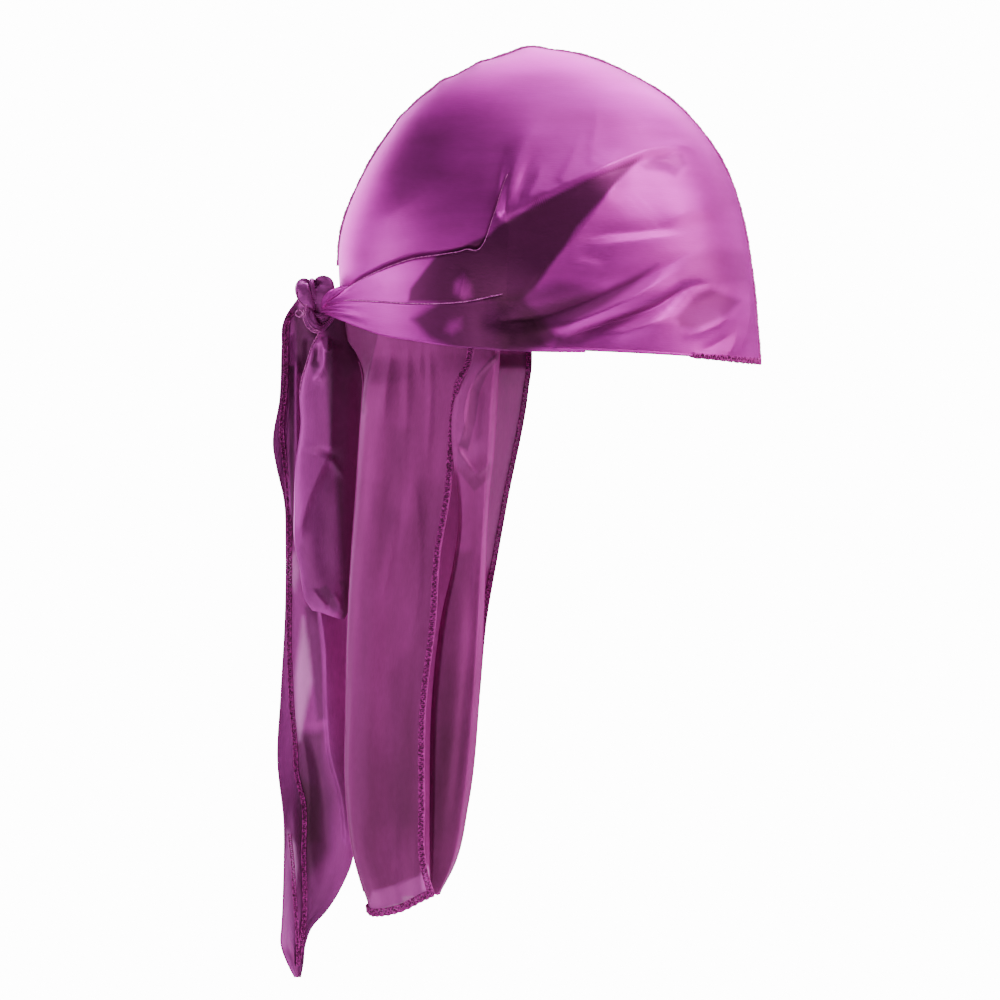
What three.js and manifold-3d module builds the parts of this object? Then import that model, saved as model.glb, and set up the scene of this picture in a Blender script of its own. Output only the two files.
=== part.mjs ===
// A satin durag, tied and held in the shape it has on a head.
// Millimetres. +X points to the brow, +Y to the wearer's left, +Z up.
// The origin is the middle of the head opening, level with the brow line.
import * as THREE from "three";
import { mergeVertices } from "three/addons/utils/BufferGeometryUtils.js";
import Module from "manifold-3d";

const wasm = await Module();
wasm.setup();

// Driving dimensions
const headLength = 195; // crown, brow to back, over the cloth
const headBreadth = 150; // crown, ear to ear, over the cloth
const crownHeight = 143; // brow line to the top of the crown
const clothWall = 1.2; // every cloth piece
const layerGap = 0.6; // between a cloth layer and the one under it
const seamGap = 0.3; // between pieces that are sewn or tied together
const templeRise = 3; // height of the crown's edge at the temples
const browDrop = 5.6; // how far the edge dips from the temples to the brow
const napeRise = 22; // height of the line where the flap leaves the crown
const seamHeight = 1.2; // the overlocked ridge along the middle of the crown
const seamWidth = 1.6;
const hemDiameter = 2.2; // rolled, overlocked brow hem
const strapLift = 8; // how far the straps stand off the nape at the knot
const knotStandOff = 11.5; // middle of the knot behind the back of the crown
const knotHeight = 21.5; // middle of the knot above the brow line
const knotHalfDepth = 9.5; // knot, from its middle towards either ear
const knotBand = 4.6; // radius of the gathered cloth in the knot
const flapLength = 279; // down the nape, from its line on the crown
const loopDrop = 131; // length of the hanging loop below the knot
const loopWidth = 30; // strap folded in two, seen from the side
const loopDepth = 6; // between the loop's two layers
const tieDrop = 314; // the longer tie end, below the middle of the knot
const shortTieDrop = 300;
const tieWidth = 34; // a tie end folded lengthwise
const tieStep = 5; // from one hanging layer to the next, front to back

const halfLength = headLength / 2;
const halfBreadth = headBreadth / 2;
const radians = THREE.MathUtils.degToRad;
const mix = THREE.MathUtils.lerp;
const ease = THREE.MathUtils.smoothstep;

// How much fuller than an ellipse the crown is, by the angle down from its top.
const crownSections = [
  { tilt: 0, front: 1, back: 1, side: 1 },
  { tilt: 15, front: 1.0, back: 1.015, side: 1.02 },
  { tilt: 30, front: 1.034, back: 1.05, side: 1.06 },
  { tilt: 45, front: 1.048, back: 1.072, side: 1.085 },
  { tilt: 60, front: 1.025, back: 1.078, side: 1.075 },
  { tilt: 75, front: 1.008, back: 1.022, side: 1.04 },
  { tilt: 90, front: 1.012, back: 0.972, side: 1.0 },
  { tilt: 105, front: 1.03, back: 0.93, side: 0.97 },
];

// A strap from the temple to the knot: turn is its angle round the head from the brow,
// low and high are its two edges as shares of the crown's height.
const strapSections = [
  { turn: 79, low: 0.004, high: 0.6 },
  { turn: 90, low: 0.006, high: 0.565 },
  { turn: 98, low: 0.009, high: 0.488 },
  { turn: 107, low: 0.017, high: 0.385 },
  { turn: 117, low: 0.027, high: 0.331 },
  { turn: 135, low: 0.048, high: 0.302 },
  { turn: 149, low: 0.074, high: 0.256 },
  { turn: 160, low: 0.1, high: 0.218 },
  { turn: 168, low: 0.118, high: 0.188 },
  { turn: 175, low: 0.13, high: 0.176 },
];

// Tension folds on each side of the crown: ends as shares of half the head's length
// and of the crown's height, width and lift as shares of the head's length.
const crownFolds = [
  { fromX: -0.42, fromZ: 0.63, toX: 0.72, toZ: 1.0, bow: -0.005, width: 0.045, lift: 0.017 },
  { fromX: -0.47, fromZ: 0.6, toX: -0.2, toZ: 0.98, bow: 0.0, width: 0.03, lift: 0.01 },
  { fromX: 0.2, fromZ: 0.5, toX: 0.92, toZ: 0.6, bow: -0.02, width: 0.04, lift: 0.011 },
  { fromX: 0.2, fromZ: 0.2, toX: 0.88, toZ: 0.42, bow: -0.02, width: 0.04, lift: 0.012 },
  { fromX: 0.3, fromZ: 0.02, toX: 0.98, toZ: 0.26, bow: -0.02, width: 0.035, lift: 0.01 },
];

// Level sections of the flap. Each is a curve through five points round the neck, from the
// hem on the right to the hem on the left: x as shares of half the head's length, y of half
// its breadth. drop is the share of the flap's length.
const flapSections = [
  { drop: 0.1, hemX: -0.37, hemY: 0.95, foldX: -0.862, foldY: 0.56, midX: -0.82, farX: -0.85, farY: 0.56, endX: -0.085, endY: 0.94 },
  { drop: 0.155, hemX: -0.44, hemY: 0.88, foldX: -0.86, foldY: 0.6, midX: -0.775, farX: -0.83, farY: 0.58, endX: -0.11, endY: 0.88 },
  { drop: 0.32, hemX: -0.48, hemY: 0.79, foldX: -0.905, foldY: 0.55, midX: -0.765, farX: -0.84, farY: 0.54, endX: -0.2, endY: 0.8 },
  { drop: 0.49, hemX: -0.535, hemY: 0.72, foldX: -0.94, foldY: 0.52, midX: -0.77, farX: -0.87, farY: 0.5, endX: -0.28, endY: 0.73 },
  { drop: 0.66, hemX: -0.587, hemY: 0.66, foldX: -0.955, foldY: 0.5, midX: -0.77, farX: -0.88, farY: 0.47, endX: -0.32, endY: 0.67 },
  { drop: 0.83, hemX: -0.592, hemY: 0.61, foldX: -0.95, foldY: 0.47, midX: -0.76, farX: -0.87, farY: 0.44, endX: -0.375, endY: 0.61 },
  { drop: 1, hemX: -0.545, hemY: 0.56, foldX: -0.855, foldY: 0.43, midX: -0.72, farX: -0.8, farY: 0.4, endX: -0.54, endY: 0.54 },
];
const flapPleat = { count: 7, depth: 2.2 }; // soft pleats that deepen towards the hem
const flapStartTurn = 98; // the flap's two hems leave the crown here, on either side
const flapEndRise = 0.012; // how much shorter the flap is at its left hem

// The flap's front on the right is turned back on itself: an upright width of it that shows
// between the two hems. back and front are its edges as shares of half the head's length,
// depth is how far it hangs to the right as a share of half its breadth.
const turnedSections = [
  { drop: 0.045, back: -0.35, front: -0.23, depth: 0.9 },
  { drop: 0.08, back: -0.382, front: -0.236, depth: 0.88 },
  { drop: 0.13, back: -0.437, front: -0.244, depth: 0.86 },
  { drop: 0.185, back: -0.468, front: -0.252, depth: 0.87 },
  { drop: 0.232, back: -0.466, front: -0.262, depth: 0.85 },
  { drop: 0.293, back: -0.446, front: -0.281, depth: 0.77 },
  { drop: 0.357, back: -0.436, front: -0.295, depth: 0.68 },
  { drop: 0.43, back: -0.462, front: -0.304, depth: 0.615 },
  { drop: 0.51, back: -0.52, front: -0.312, depth: 0.575 },
  { drop: 0.66, back: -0.56, front: -0.333, depth: 0.53 },
  { drop: 0.83, back: -0.565, front: -0.385, depth: 0.48 },
  { drop: 0.94, back: -0.56, front: -0.456, depth: 0.44 },
  { drop: 0.99, back: -0.55, front: -0.5, depth: 0.42 },
];

// The loop, seen from the side: middle is how far it swings forward of the knot and width
// how broad it is, both as shares of its full width.
const loopSections = [
  { drop: 0, middle: 0.09, width: 0.28 },
  { drop: 0.06, middle: 0.19, width: 0.5 },
  { drop: 0.15, middle: 0.31, width: 0.94 },
  { drop: 0.29, middle: 0.27, width: 1.02 },
  { drop: 0.46, middle: 0.24, width: 0.95 },
  { drop: 0.63, middle: 0.164, width: 0.98 },
  { drop: 0.76, middle: 0.148, width: 0.95 },
  { drop: 0.88, middle: 0.18, width: 0.8 },
  { drop: 1, middle: 0.195, width: 0.61 },
];

// The tie ends, in the same terms, as shares of a tie's width.
const longTieSections = [
  { drop: 0, middle: -0.27, width: 0.2 },
  { drop: 0.02, middle: -0.335, width: 0.27 },
  { drop: 0.05, middle: -0.31, width: 0.34 },
  { drop: 0.1, middle: -0.28, width: 0.46 },
  { drop: 0.2, middle: -0.14, width: 0.86 },
  { drop: 0.3, middle: 0.03, width: 0.92 },
  { drop: 0.45, middle: 0.04, width: 0.89 },
  { drop: 0.6, middle: 0.014, width: 1 },
  { drop: 0.74, middle: 0.02, width: 0.99 },
  { drop: 0.86, middle: 0.045, width: 0.95 },
  { drop: 1, middle: -0.02, width: 0.93 },
];
const shortTieSections = [
  { drop: 0, middle: -0.02, width: 0.16 },
  { drop: 0.07, middle: 0.0, width: 0.3 },
  { drop: 0.2, middle: 0.06, width: 0.55 },
  { drop: 0.4, middle: 0.2, width: 0.62 },
  { drop: 0.65, middle: 0.22, width: 0.66 },
  { drop: 1, middle: 0.3, width: 0.56 },
];
const tieSlant = 0.22; // the cut end rises by this share of the drop over its width

// Reads every column of a section table at a position along it, as one smooth curve.
function sectionAt(rows, along, position) {
  const last = rows.length - 1;
  let i = 0;
  while (i < last - 1 && position > rows[i + 1][along]) i += 1;
  const [before, a, b, after] = [Math.max(i - 1, 0), i, i + 1, Math.min(i + 2, last)].map((k) => rows[k]);
  const span = b[along] - a[along];
  const t = THREE.MathUtils.clamp((position - a[along]) / span, 0, 1);
  const found = {};
  for (const column of Object.keys(a)) {
    const slopeA = ((b[column] - before[column]) / (b[along] - before[along])) * span;
    const slopeB = ((after[column] - a[column]) / (after[along] - a[along])) * span;
    found[column] =
      (2 * t ** 3 - 3 * t ** 2 + 1) * a[column] +
      (t ** 3 - 2 * t ** 2 + t) * slopeA +
      (3 * t ** 2 - 2 * t ** 3) * b[column] +
      (t ** 3 - t ** 2) * slopeB;
  }
  return found;
}

// A point of the crown's outside: turn round the head from the brow, tilt down from the top.
// side is -1 for the wearer's right and 1 for the left.
function formPoint(turn, tilt, side) {
  const plan = new THREE.Vector2(Math.cos(turn) * halfLength, Math.sin(turn) * halfBreadth);
  const reach = 1 / Math.hypot(Math.sin(tilt) / plan.length(), Math.cos(tilt) / crownHeight);
  const fullness = sectionAt(crownSections, "tilt", THREE.MathUtils.radToDeg(tilt));
  const end = Math.cos(turn) > 0 ? fullness.front : fullness.back;
  const radius = reach * mix(end, fullness.side, Math.sin(turn) ** 2);
  plan.normalize();
  const out = radius * Math.sin(tilt);
  return new THREE.Vector3(out * plan.x, side * out * plan.y, radius * Math.cos(tilt));
}

// The tilt at which the crown's outside has a given height, found by halving.
function tiltAtHeight(turn, height) {
  let low = 0;
  let high = radians(110);
  for (let i = 0; i < 40; i += 1) {
    const middle = (low + high) / 2;
    if (formPoint(turn, middle, 1).z > height) low = middle;
    else high = middle;
  }
  return (low + high) / 2;
}

// Moves a point of a surface along the surface's normal, away from its inside.
function offsetPoint(surface, u, v, distance, inside) {
  const step = 1e-3;
  const point = surface(u, v);
  const alongU = surface(u + step, v).sub(surface(u - step, v));
  const alongV = surface(u, v + step).sub(surface(u, v - step));
  const normal = alongU.cross(alongV).normalize();
  if (normal.dot(point.clone().sub(inside)) < 0) normal.negate();
  return point.addScaledVector(normal, distance);
}

// A point laid on the crown at a height, lifted off it by a distance.
function onCrown(turn, height, side, lift) {
  const surface = (u, v) => formPoint(u, tiltAtHeight(u, v * crownHeight), side);
  return offsetPoint(surface, turn, height / crownHeight, lift, new THREE.Vector3());
}

// A closed body from two matching skins: outer and inner are functions of shares u and v.
function clothBody(columns, rows, outer, inner) {
  const positions = [];
  const grid = [outer, inner].map((skin) => {
    const start = positions.length / 3;
    for (let j = 0; j <= rows; j += 1)
      for (let i = 0; i <= columns; i += 1) positions.push(...skin(i / columns, j / rows).toArray());
    return (i, j) => start + j * (columns + 1) + i;
  });
  const [o, n] = grid;
  const faces = [];
  const quad = (a, b, c, d) => faces.push(a, b, c, a, c, d);
  for (let j = 0; j < rows; j += 1)
    for (let i = 0; i < columns; i += 1) {
      quad(o(i, j), o(i + 1, j), o(i + 1, j + 1), o(i, j + 1));
      quad(n(i, j), n(i, j + 1), n(i + 1, j + 1), n(i + 1, j));
    }
  for (let i = 0; i < columns; i += 1) {
    quad(o(i, 0), n(i, 0), n(i + 1, 0), o(i + 1, 0));
    quad(o(i, rows), o(i + 1, rows), n(i + 1, rows), n(i, rows));
  }
  for (let j = 0; j < rows; j += 1) {
    quad(o(0, j), o(0, j + 1), n(0, j + 1), n(0, j));
    quad(o(columns, j), n(columns, j), n(columns, j + 1), o(columns, j + 1));
  }
  const geometry = new THREE.BufferGeometry();
  geometry.setAttribute("position", new THREE.Float32BufferAttribute(positions, 3));
  geometry.setIndex(faces);
  return facingOut(geometry);
}

// Turns a closed body's faces round if its volume comes out negative.
function facingOut(geometry) {
  const at = geometry.getAttribute("position");
  const index = geometry.getIndex();
  const corner = (k) => new THREE.Vector3().fromBufferAttribute(at, index.getX(k));
  let volume = 0;
  for (let k = 0; k < index.count; k += 3) volume += corner(k).dot(corner(k + 1).cross(corner(k + 2)));
  if (volume < 0) {
    for (let k = 0; k < index.count; k += 3) {
      const kept = index.getX(k + 1);
      index.setX(k + 1, index.getX(k + 2));
      index.setX(k + 2, kept);
    }
  }
  return geometry;
}

// A cloth sheet of the wall's thickness, with the given skin as its middle.
function sheet(columns, rows, middle, wall = clothWall) {
  const inside = (u, v) => middle(u, v).addScaledVector(sheetNormal(middle, u, v), -wall / 2);
  const outside = (u, v) => middle(u, v).addScaledVector(sheetNormal(middle, u, v), wall / 2);
  return clothBody(columns, rows, outside, inside);
}

function sheetNormal(middle, u, v) {
  const step = 1e-3;
  const alongU = middle(u + step, v).sub(middle(u - step, v));
  const alongV = middle(u, v + step).sub(middle(u, v - step));
  return alongU.cross(alongV).normalize();
}

// Boolean helpers: a closed geometry as a solid, and back.
function solidOf(geometry) {
  const bare = geometry.clone();
  bare.deleteAttribute("normal");
  bare.deleteAttribute("uv");
  const merged = mergeVertices(bare, 1e-4);
  const mesh = new wasm.Mesh({
    numProp: 3,
    vertProperties: new Float32Array(merged.getAttribute("position").array),
    triVerts: new Uint32Array(merged.getIndex().array),
  });
  return new wasm.Manifold(mesh);
}

function geometryOf(solid) {
  const mesh = solid.getMesh();
  const geometry = new THREE.BufferGeometry();
  geometry.setAttribute("position", new THREE.Float32BufferAttribute(mesh.vertProperties, 3));
  geometry.setIndex(Array.from(mesh.triVerts));
  return geometry;
}

// Crown panels. The lower edge dips at the brow and rises to the nape line behind the ears.
function rimHeight(turn) {
  const brow = templeRise - browDrop * Math.max(Math.cos(turn), 0) ** 1.5;
  return mix(brow, napeRise, ease(turn, radians(90), radians(flapStartTurn - 1)));
}

// The lift of one fold at a place on the side of the head, as seen from the side.
function foldLift(fold, x, z) {
  const from = new THREE.Vector2(fold.fromX * halfLength, fold.fromZ * crownHeight);
  const to = new THREE.Vector2(fold.toX * halfLength, fold.toZ * crownHeight);
  const run = to.clone().sub(from);
  const place = new THREE.Vector2(x, z).sub(from);
  const along = place.dot(run) / run.lengthSq();
  const bow = fold.bow * headLength * 4 * along * (1 - along);
  const across = place.cross(run) / run.length() + bow;
  const fade = ease(along, 0, 0.25) * (1 - ease(along, 0.7, 1));
  return fold.lift * headLength * fade * Math.exp(-((across / (fold.width * headLength)) ** 2));
}

// Folds fade out under a strap, so that the strap lies clear of the crown.
function crownLift(turn, point) {
  const bare = 1 - ease(turn, radians(70), radians(80));
  const strap = sectionAt(strapSections, "turn", THREE.MathUtils.radToDeg(turn));
  const above = ease(point.z, (strap.high + 0.03) * crownHeight, (strap.high + 0.13) * crownHeight);
  const shown = Math.max(bare, turn > radians(84) ? above : bare);
  const total = crownFolds.reduce((sum, fold) => sum + foldLift(fold, point.x, point.z), 0);
  const inside = ease(Math.abs(point.y), 0.1 * halfBreadth, 0.35 * halfBreadth);
  return total * shown * inside * ease(point.z, rimHeight(turn), rimHeight(turn) + 12);
}

// A panel is half a disc spread over the form: x runs from nape to brow, y from seam to edge.
function discPoint(x, y, side) {
  const turn = Math.abs(Math.atan2(y, x));
  const rim = tiltAtHeight(turn, rimHeight(turn));
  return formPoint(turn, Math.hypot(x, y) * rim, side);
}

function crownPanel(side) {
  const centre = new THREE.Vector3();
  const surface = (x, y) => discPoint(x, y, side);
  const seamShare = seamGap / 2 / halfBreadth; // leaves the sewing gap between the two panels
  const skin = (distance) => (share, down) => {
    const u = 1 - 2 * share;
    const v = mix(seamShare, 1, down);
    const x = u * Math.sqrt(1 - v ** 2 / 2);
    const y = v * Math.sqrt(1 - u ** 2 / 2);
    const lift = crownLift(Math.atan2(y, x), surface(x, y));
    const place = offsetPoint(surface, x, y, lift + distance, centre);
    if (down === 0) place.y = (side * seamGap) / 2;
    return place;
  };
  return clothBody(30, 14, skin(0), skin(-clothWall));
}

// The overlocked seam stands on the crown along the middle, from the brow to above the knot.
function middleSeam() {
  const ends = [-tiltAtHeight(Math.PI, knotHeight + 22), tiltAtHeight(0, rimHeight(0))];
  const bed = (share) => {
    const tilt = mix(ends[0], ends[1], share);
    return formPoint(tilt > 0 ? 0 : Math.PI, Math.abs(tilt), 1);
  };
  const outward = (share) => {
    const run = bed(share + 1e-3).sub(bed(share - 1e-3)).normalize();
    return new THREE.Vector3(-run.z, 0, run.x);
  };
  const skin = (y) => (u, v) => {
    const place = bed(u).addScaledVector(outward(u), mix(seamGap, seamGap + seamHeight, v));
    place.y = y;
    return place;
  };
  return clothBody(44, 1, skin(seamWidth / 2), skin(-seamWidth / 2));
}

// The rolled hem hangs under the crown's edge, from temple to temple round the brow.
function browHem() {
  const end = radians(strapSections[0].turn - 1.5);
  const points = [];
  for (let i = 0; i <= 24; i += 1) {
    const turn = mix(-end, end, i / 24);
    const edge = rimHeight(Math.abs(turn));
    const [outer, inner] = [0, -clothWall].map((d) => onCrown(Math.abs(turn), edge, turn < 0 ? -1 : 1, d));
    const place = outer.clone().lerp(inner, 0.5);
    place.z = Math.min(outer.z, inner.z) - 1.2 * seamGap - hemDiameter / 2;
    points.push(place);
  }
  const section = new THREE.Shape().absarc(0, 0, hemDiameter / 2, 0, Math.PI * 2);
  return new THREE.ExtrudeGeometry(section, {
    curveSegments: 3,
    steps: 40,
    extrudePath: new THREE.CatmullRomCurve3(points),
    bevelEnabled: false,
  });
}

// The knot: two bands over the top, one under the bottom, round a gathered middle.
const knotMiddle = new THREE.Vector3(-halfLength - knotStandOff, 0, knotHeight);

// A closed band of cloth: an elliptical ring with an elliptical section.
function knotRing(ring, grown) {
  const section = [];
  for (let i = 0; i <= 8; i += 1) {
    const angle = (i / 8) * Math.PI * 2;
    section.push(new THREE.Vector2(
      ring.reach + Math.cos(angle) * (ring.thick + grown),
      Math.sin(angle) * (ring.broad + grown),
    ));
  }
  const geometry = new THREE.LatheGeometry(section, 18);
  geometry.scale(1, 1, ring.depth / ring.reach);
  geometry.rotateZ(radians(ring.lean));
  geometry.translate(ring.x, 0, ring.z);
  return geometry;
}

function knotSolid(grown) {
  const rings = [
    { reach: 0.95, thick: 0.72, broad: 0.8, depth: 1.1, lean: 108, x: -1.12, z: 1.1 },
    { reach: 1.25, thick: 0.8, broad: 1.1, depth: 1.2, lean: 80, x: 0.8, z: 0.95 },
    { reach: 0.75, thick: 0.75, broad: 0.85, depth: 0.95, lean: 40, x: -0.25, z: -1.35 },
  ];
  const lump = new THREE.SphereGeometry(1, 14, 10);
  lump.scale(2.1 * knotBand + grown, knotHalfDepth * 0.62 + grown, 2 * knotBand + grown);
  let solid = solidOf(lump);
  for (const row of rings) {
    const ring = { ...row, lean: row.lean };
    for (const size of ["reach", "thick", "broad", "x", "z"]) ring[size] = row[size] * knotBand;
    ring.depth = row.depth * (knotHalfDepth - knotBand * row.thick);
    const turned = knotRing({ ...ring, x: 0, z: 0, lean: 0 }, grown);
    turned.rotateZ(radians(90)); // the band's axis now lies along X
    turned.rotateY(radians(ring.lean - 90));
    turned.translate(ring.x, 0, ring.z);
    solid = solid.add(solidOf(turned));
  }
  return solid.translate([knotMiddle.x, knotMiddle.y, knotMiddle.z]);
}

const knot = knotSolid(0);
const knotRoom = knotSolid(seamGap); // what is tied into the knot is cut back to this

function cutToKnot(geometry) {
  const pieces = solidOf(geometry).subtract(knotRoom).decompose();
  pieces.sort((a, b) => b.volume() - a.volume());
  return geometryOf(pieces[0]);
}

// A strap wraps the side of the head and gathers into the knot.
function strap(side) {
  const first = strapSections[0].turn;
  const last = strapSections[strapSections.length - 1].turn;
  const skin = (outer) => (u, v) => {
    const turn = mix(first, last, u);
    const edges = sectionAt(strapSections, "turn", turn);
    const height = mix(edges.low, edges.high, v) * crownHeight;
    const gathered = ease(turn, 140, last);
    const lift = layerGap + strapLift * gathered ** 1.5;
    const wall = mix(clothWall, 4 * clothWall * Math.sin(Math.PI * mix(0.15, 0.85, v)), gathered);
    return onCrown(radians(turn), height, side, lift + (outer ? wall : 0));
  };
  return cutToKnot(clothBody(26, 6, skin(true), skin(false)));
}

// A curve through the five points of a level section of the flap.
function flapCurve(row) {
  const corner = (x, y) => new THREE.Vector3(x * halfLength, y * halfBreadth, 0);
  return new THREE.CatmullRomCurve3([
    corner(row.hemX, -row.hemY),
    corner(row.foldX, -row.foldY),
    corner(row.midX, 0),
    corner(row.farX, row.farY),
    corner(row.endX, row.endY),
  ]);
}

function flap() {
  const upper = napeRise - seamGap;
  const draped = (share, drop) => {
    const row = sectionAt(flapSections, "drop", drop);
    const place = flapCurve(row).getPoint(THREE.MathUtils.clamp(share, 0, 1));
    const pleat = flapPleat.depth * ease(drop, 0.15, 1) * Math.sin(share * flapPleat.count * 2 * Math.PI);
    const middle = new THREE.Vector3(row.midX * halfLength * 0.6, 0, 0);
    const outward = place.clone().sub(middle).normalize();
    place.addScaledVector(outward, pleat);
    return place;
  };
  const onForm = (share, height) => {
    const turn = mix(-radians(180 - flapStartTurn), radians(180 - flapStartTurn), share);
    const side = turn < 0 ? -1 : 1;
    return onCrown(Math.PI - Math.abs(turn), height, side, -clothWall / 2);
  };
  const middle = (u, v) => {
    const share = THREE.MathUtils.clamp(u, 0, 1);
    const length = flapLength * (1 - flapEndRise * ease(share, 0.45, 1));
    const drop = Math.max(v, 0) * (length / flapLength);
    const height = upper - v * length;
    const hanging = draped(share, Math.max(drop, flapSections[0].drop));
    const leaving = mix(1, 9, ease(1 - Math.abs(2 * share - 1), 0.5, 0.9)); // height it hangs free at
    const free = ease(leaving - height, 0, 16);
    const place = onForm(share, Math.max(height, 2)).lerp(hanging, free);
    place.z = height;
    return place;
  };
  return geometryOf(solidOf(sheet(28, 16, middle)).add(solidOf(turnedFront(upper))));
}

// The turned front starts in the flap's own wall under the strap, passes outside the near hem
// and then hangs behind it.
function turnedFront(upper) {
  const first = turnedSections[0].drop;
  const last = turnedSections[turnedSections.length - 1].drop;
  const middle = (u, v) => {
    const drop = mix(first, last, v);
    const row = sectionAt(turnedSections, "drop", drop);
    const share = mix(row.back, row.front, u);
    const height = upper - drop * flapLength;
    const tuck = clothWall * mix(0.7, 4, ease(drop, first, first + 0.035));
    const place = onCrown(Math.acos(share), Math.max(height, 0), -1, -tuck);
    const hanging = new THREE.Vector3(share * halfLength, -row.depth * halfBreadth, height);
    place.lerp(hanging, ease(drop, first + 0.02, first + 0.085));
    place.z = height;
    return place;
  };
  return sheet(3, 18, middle);
}

// The loop: the strap hangs from the knot, turns at the bottom and comes back up behind itself.
function loop() {
  const top = knotMiddle.z - knotBand * 2.2;
  const turnLength = (Math.PI * loopDepth) / 2;
  const length = 2 * loopDrop + turnLength;
  const middle = (u, v) => {
    const run = v * length;
    const down = run < loopDrop ? run : run > loopDrop + turnLength ? length - run : loopDrop;
    const angle = THREE.MathUtils.clamp((run - loopDrop) / turnLength, 0, 1) * Math.PI;
    const row = sectionAt(loopSections, "drop", THREE.MathUtils.clamp(down / loopDrop, 0, 1));
    const spread = mix(0.55, 1, ease(down / loopDrop, 0, 0.3)) * (loopDepth / 2);
    const cup = 1.6 * (1 - (2 * u - 1) ** 2) * row.width;
    const y = -0.75 * tieStep - Math.cos(angle) * (spread + cup);
    const z = top - down - (Math.sin(angle) * loopDepth) / 2;
    const x = knotMiddle.x + row.middle * loopWidth + (u - 0.5) * row.width * loopWidth;
    return new THREE.Vector3(x, y, z);
  };
  return cutToKnot(sheet(5, 26, middle));
}

// A tie end hangs from the knot as a long folded strip, cut on the slant.
function tieEnd(sections, drop, depth, wave) {
  const middle = (u, v) => {
    const length = drop * (1 - tieSlant * Math.max(u - 0.2, 1.1 * (0.2 - u)));
    const down = v * length;
    const row = sectionAt(sections, "drop", THREE.MathUtils.clamp(down / drop, 0, 1));
    const x = knotMiddle.x + row.middle * tieWidth + (u - 0.5) * row.width * tieWidth;
    const sway = wave * row.width * Math.sin(2 * Math.PI * (u + 0.35 * v));
    const back = mix(0.45, 1, ease(down, 0, 4 * knotBand)) * depth;
    return new THREE.Vector3(x, back + sway, knotMiddle.z - down);
  };
  return cutToKnot(sheet(5, 25, middle));
}

// Colours: the satin in daylight, and the darker overlock thread.
const satin = { color: 0x9a4489, roughness: 0.42, metalness: 0 };
const thread = { color: 0x6b2350, roughness: 0.8, metalness: 0 };

const durag = new THREE.Group();
function addPiece(name, geometry, finish) {
  const mesh = new THREE.Mesh(geometry, new THREE.MeshStandardMaterial(finish));
  mesh.name = name;
  durag.add(mesh);
}

addPiece("crown_right", crownPanel(-1), satin);
addPiece("crown_left", crownPanel(1), satin);
addPiece("middle_seam", middleSeam(), thread);
addPiece("brow_hem", browHem(), thread);
addPiece("strap_right", strap(-1), satin);
addPiece("strap_left", strap(1), satin);
addPiece("knot", geometryOf(knot), satin);
addPiece("nape_flap", flap(), satin);
addPiece("tie_loop", loop(), satin);
addPiece("tie_end_long", tieEnd(longTieSections, tieDrop, 0.8 * tieStep, 1.2), satin);
addPiece("tie_end_short", tieEnd(shortTieSections, shortTieDrop, 1.9 * tieStep, 1.2), satin);

export default durag;
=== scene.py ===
# %% [markdown]
# # A satin durag, tied and worn
#
# A durag is a thin satin cap. Two panels meet in a seam over the top, a strap on each side
# wraps round to a knot behind, and a long flap hangs down the nape. The CAD model gives the
# place and size of every part. This lesson lays finer cloth over it: surfaces worked out with
# numpy, folds added as small height fields, and a satin whose gloss does the rest.

import bpy
import numpy as np
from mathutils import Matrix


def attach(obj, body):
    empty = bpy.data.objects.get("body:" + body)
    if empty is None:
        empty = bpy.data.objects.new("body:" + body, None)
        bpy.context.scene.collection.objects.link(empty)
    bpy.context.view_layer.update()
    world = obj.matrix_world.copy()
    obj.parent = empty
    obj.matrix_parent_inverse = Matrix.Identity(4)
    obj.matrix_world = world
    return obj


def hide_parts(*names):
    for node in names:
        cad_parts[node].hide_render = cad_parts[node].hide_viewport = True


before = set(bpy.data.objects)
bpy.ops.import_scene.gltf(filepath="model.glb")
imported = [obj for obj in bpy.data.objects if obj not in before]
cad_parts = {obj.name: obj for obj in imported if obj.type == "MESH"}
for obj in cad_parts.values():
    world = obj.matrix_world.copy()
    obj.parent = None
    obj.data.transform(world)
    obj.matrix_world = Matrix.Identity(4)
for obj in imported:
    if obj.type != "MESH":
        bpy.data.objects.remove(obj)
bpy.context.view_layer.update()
print("frame loaded, nodes:", sorted(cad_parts))

# %% [markdown]
# ## Driving sizes
#
# Everything is in millimetres until it goes into a mesh. x points to the brow, y to the
# wearer's left and z up, from the middle of the crown's opening. The camera sees the right side,
# so a side of -1 is the one that shows.

# %% Driving sizes
MM = 0.001
HALF_LENGTH = 97.5  # crown, half its length from brow to back
HALF_BREADTH = 75.0
CROWN_HEIGHT = 143.0
TEMPLE_RISE = 3.0  # the crown's edge at the temples, above the brow line
BROW_DROP = 5.6  # from there down to the edge at the brow
NAPE_RISE = 22.0  # the line that the flap leaves the crown on
FLAP_LENGTH = 279.0
STRAP_LIFT = 1.5  # how far the strap, and the crown in front of it, stand off the back panel
STRAP_COVER = 2.4  # how far the crown goes in where the strap covers it
RIGHT, LEFT = -1, 1
print("crown's length, breadth and height in mm:", 2 * HALF_LENGTH, 2 * HALF_BREADTH, CROWN_HEIGHT)

# %% [markdown]
# ## Small tools for shapes
#
# A smooth step blends one shape into another. A smooth curve through the rows of a table gives
# a section anywhere between them, so a sleeve-like piece needs only a few measured sections.

# %% Steps and tables


def smooth(value, low, high):
    """0 up to low, 1 from high on, and 3t^2 - 2t^3 between them."""
    t = np.clip((value - low) / (high - low), 0, 1)
    return t * t * (3 - 2 * t)


def mix(a, b, t):
    """a at t = 0, b at t = 1, on a straight line between them."""
    return a + (b - a) * t


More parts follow.
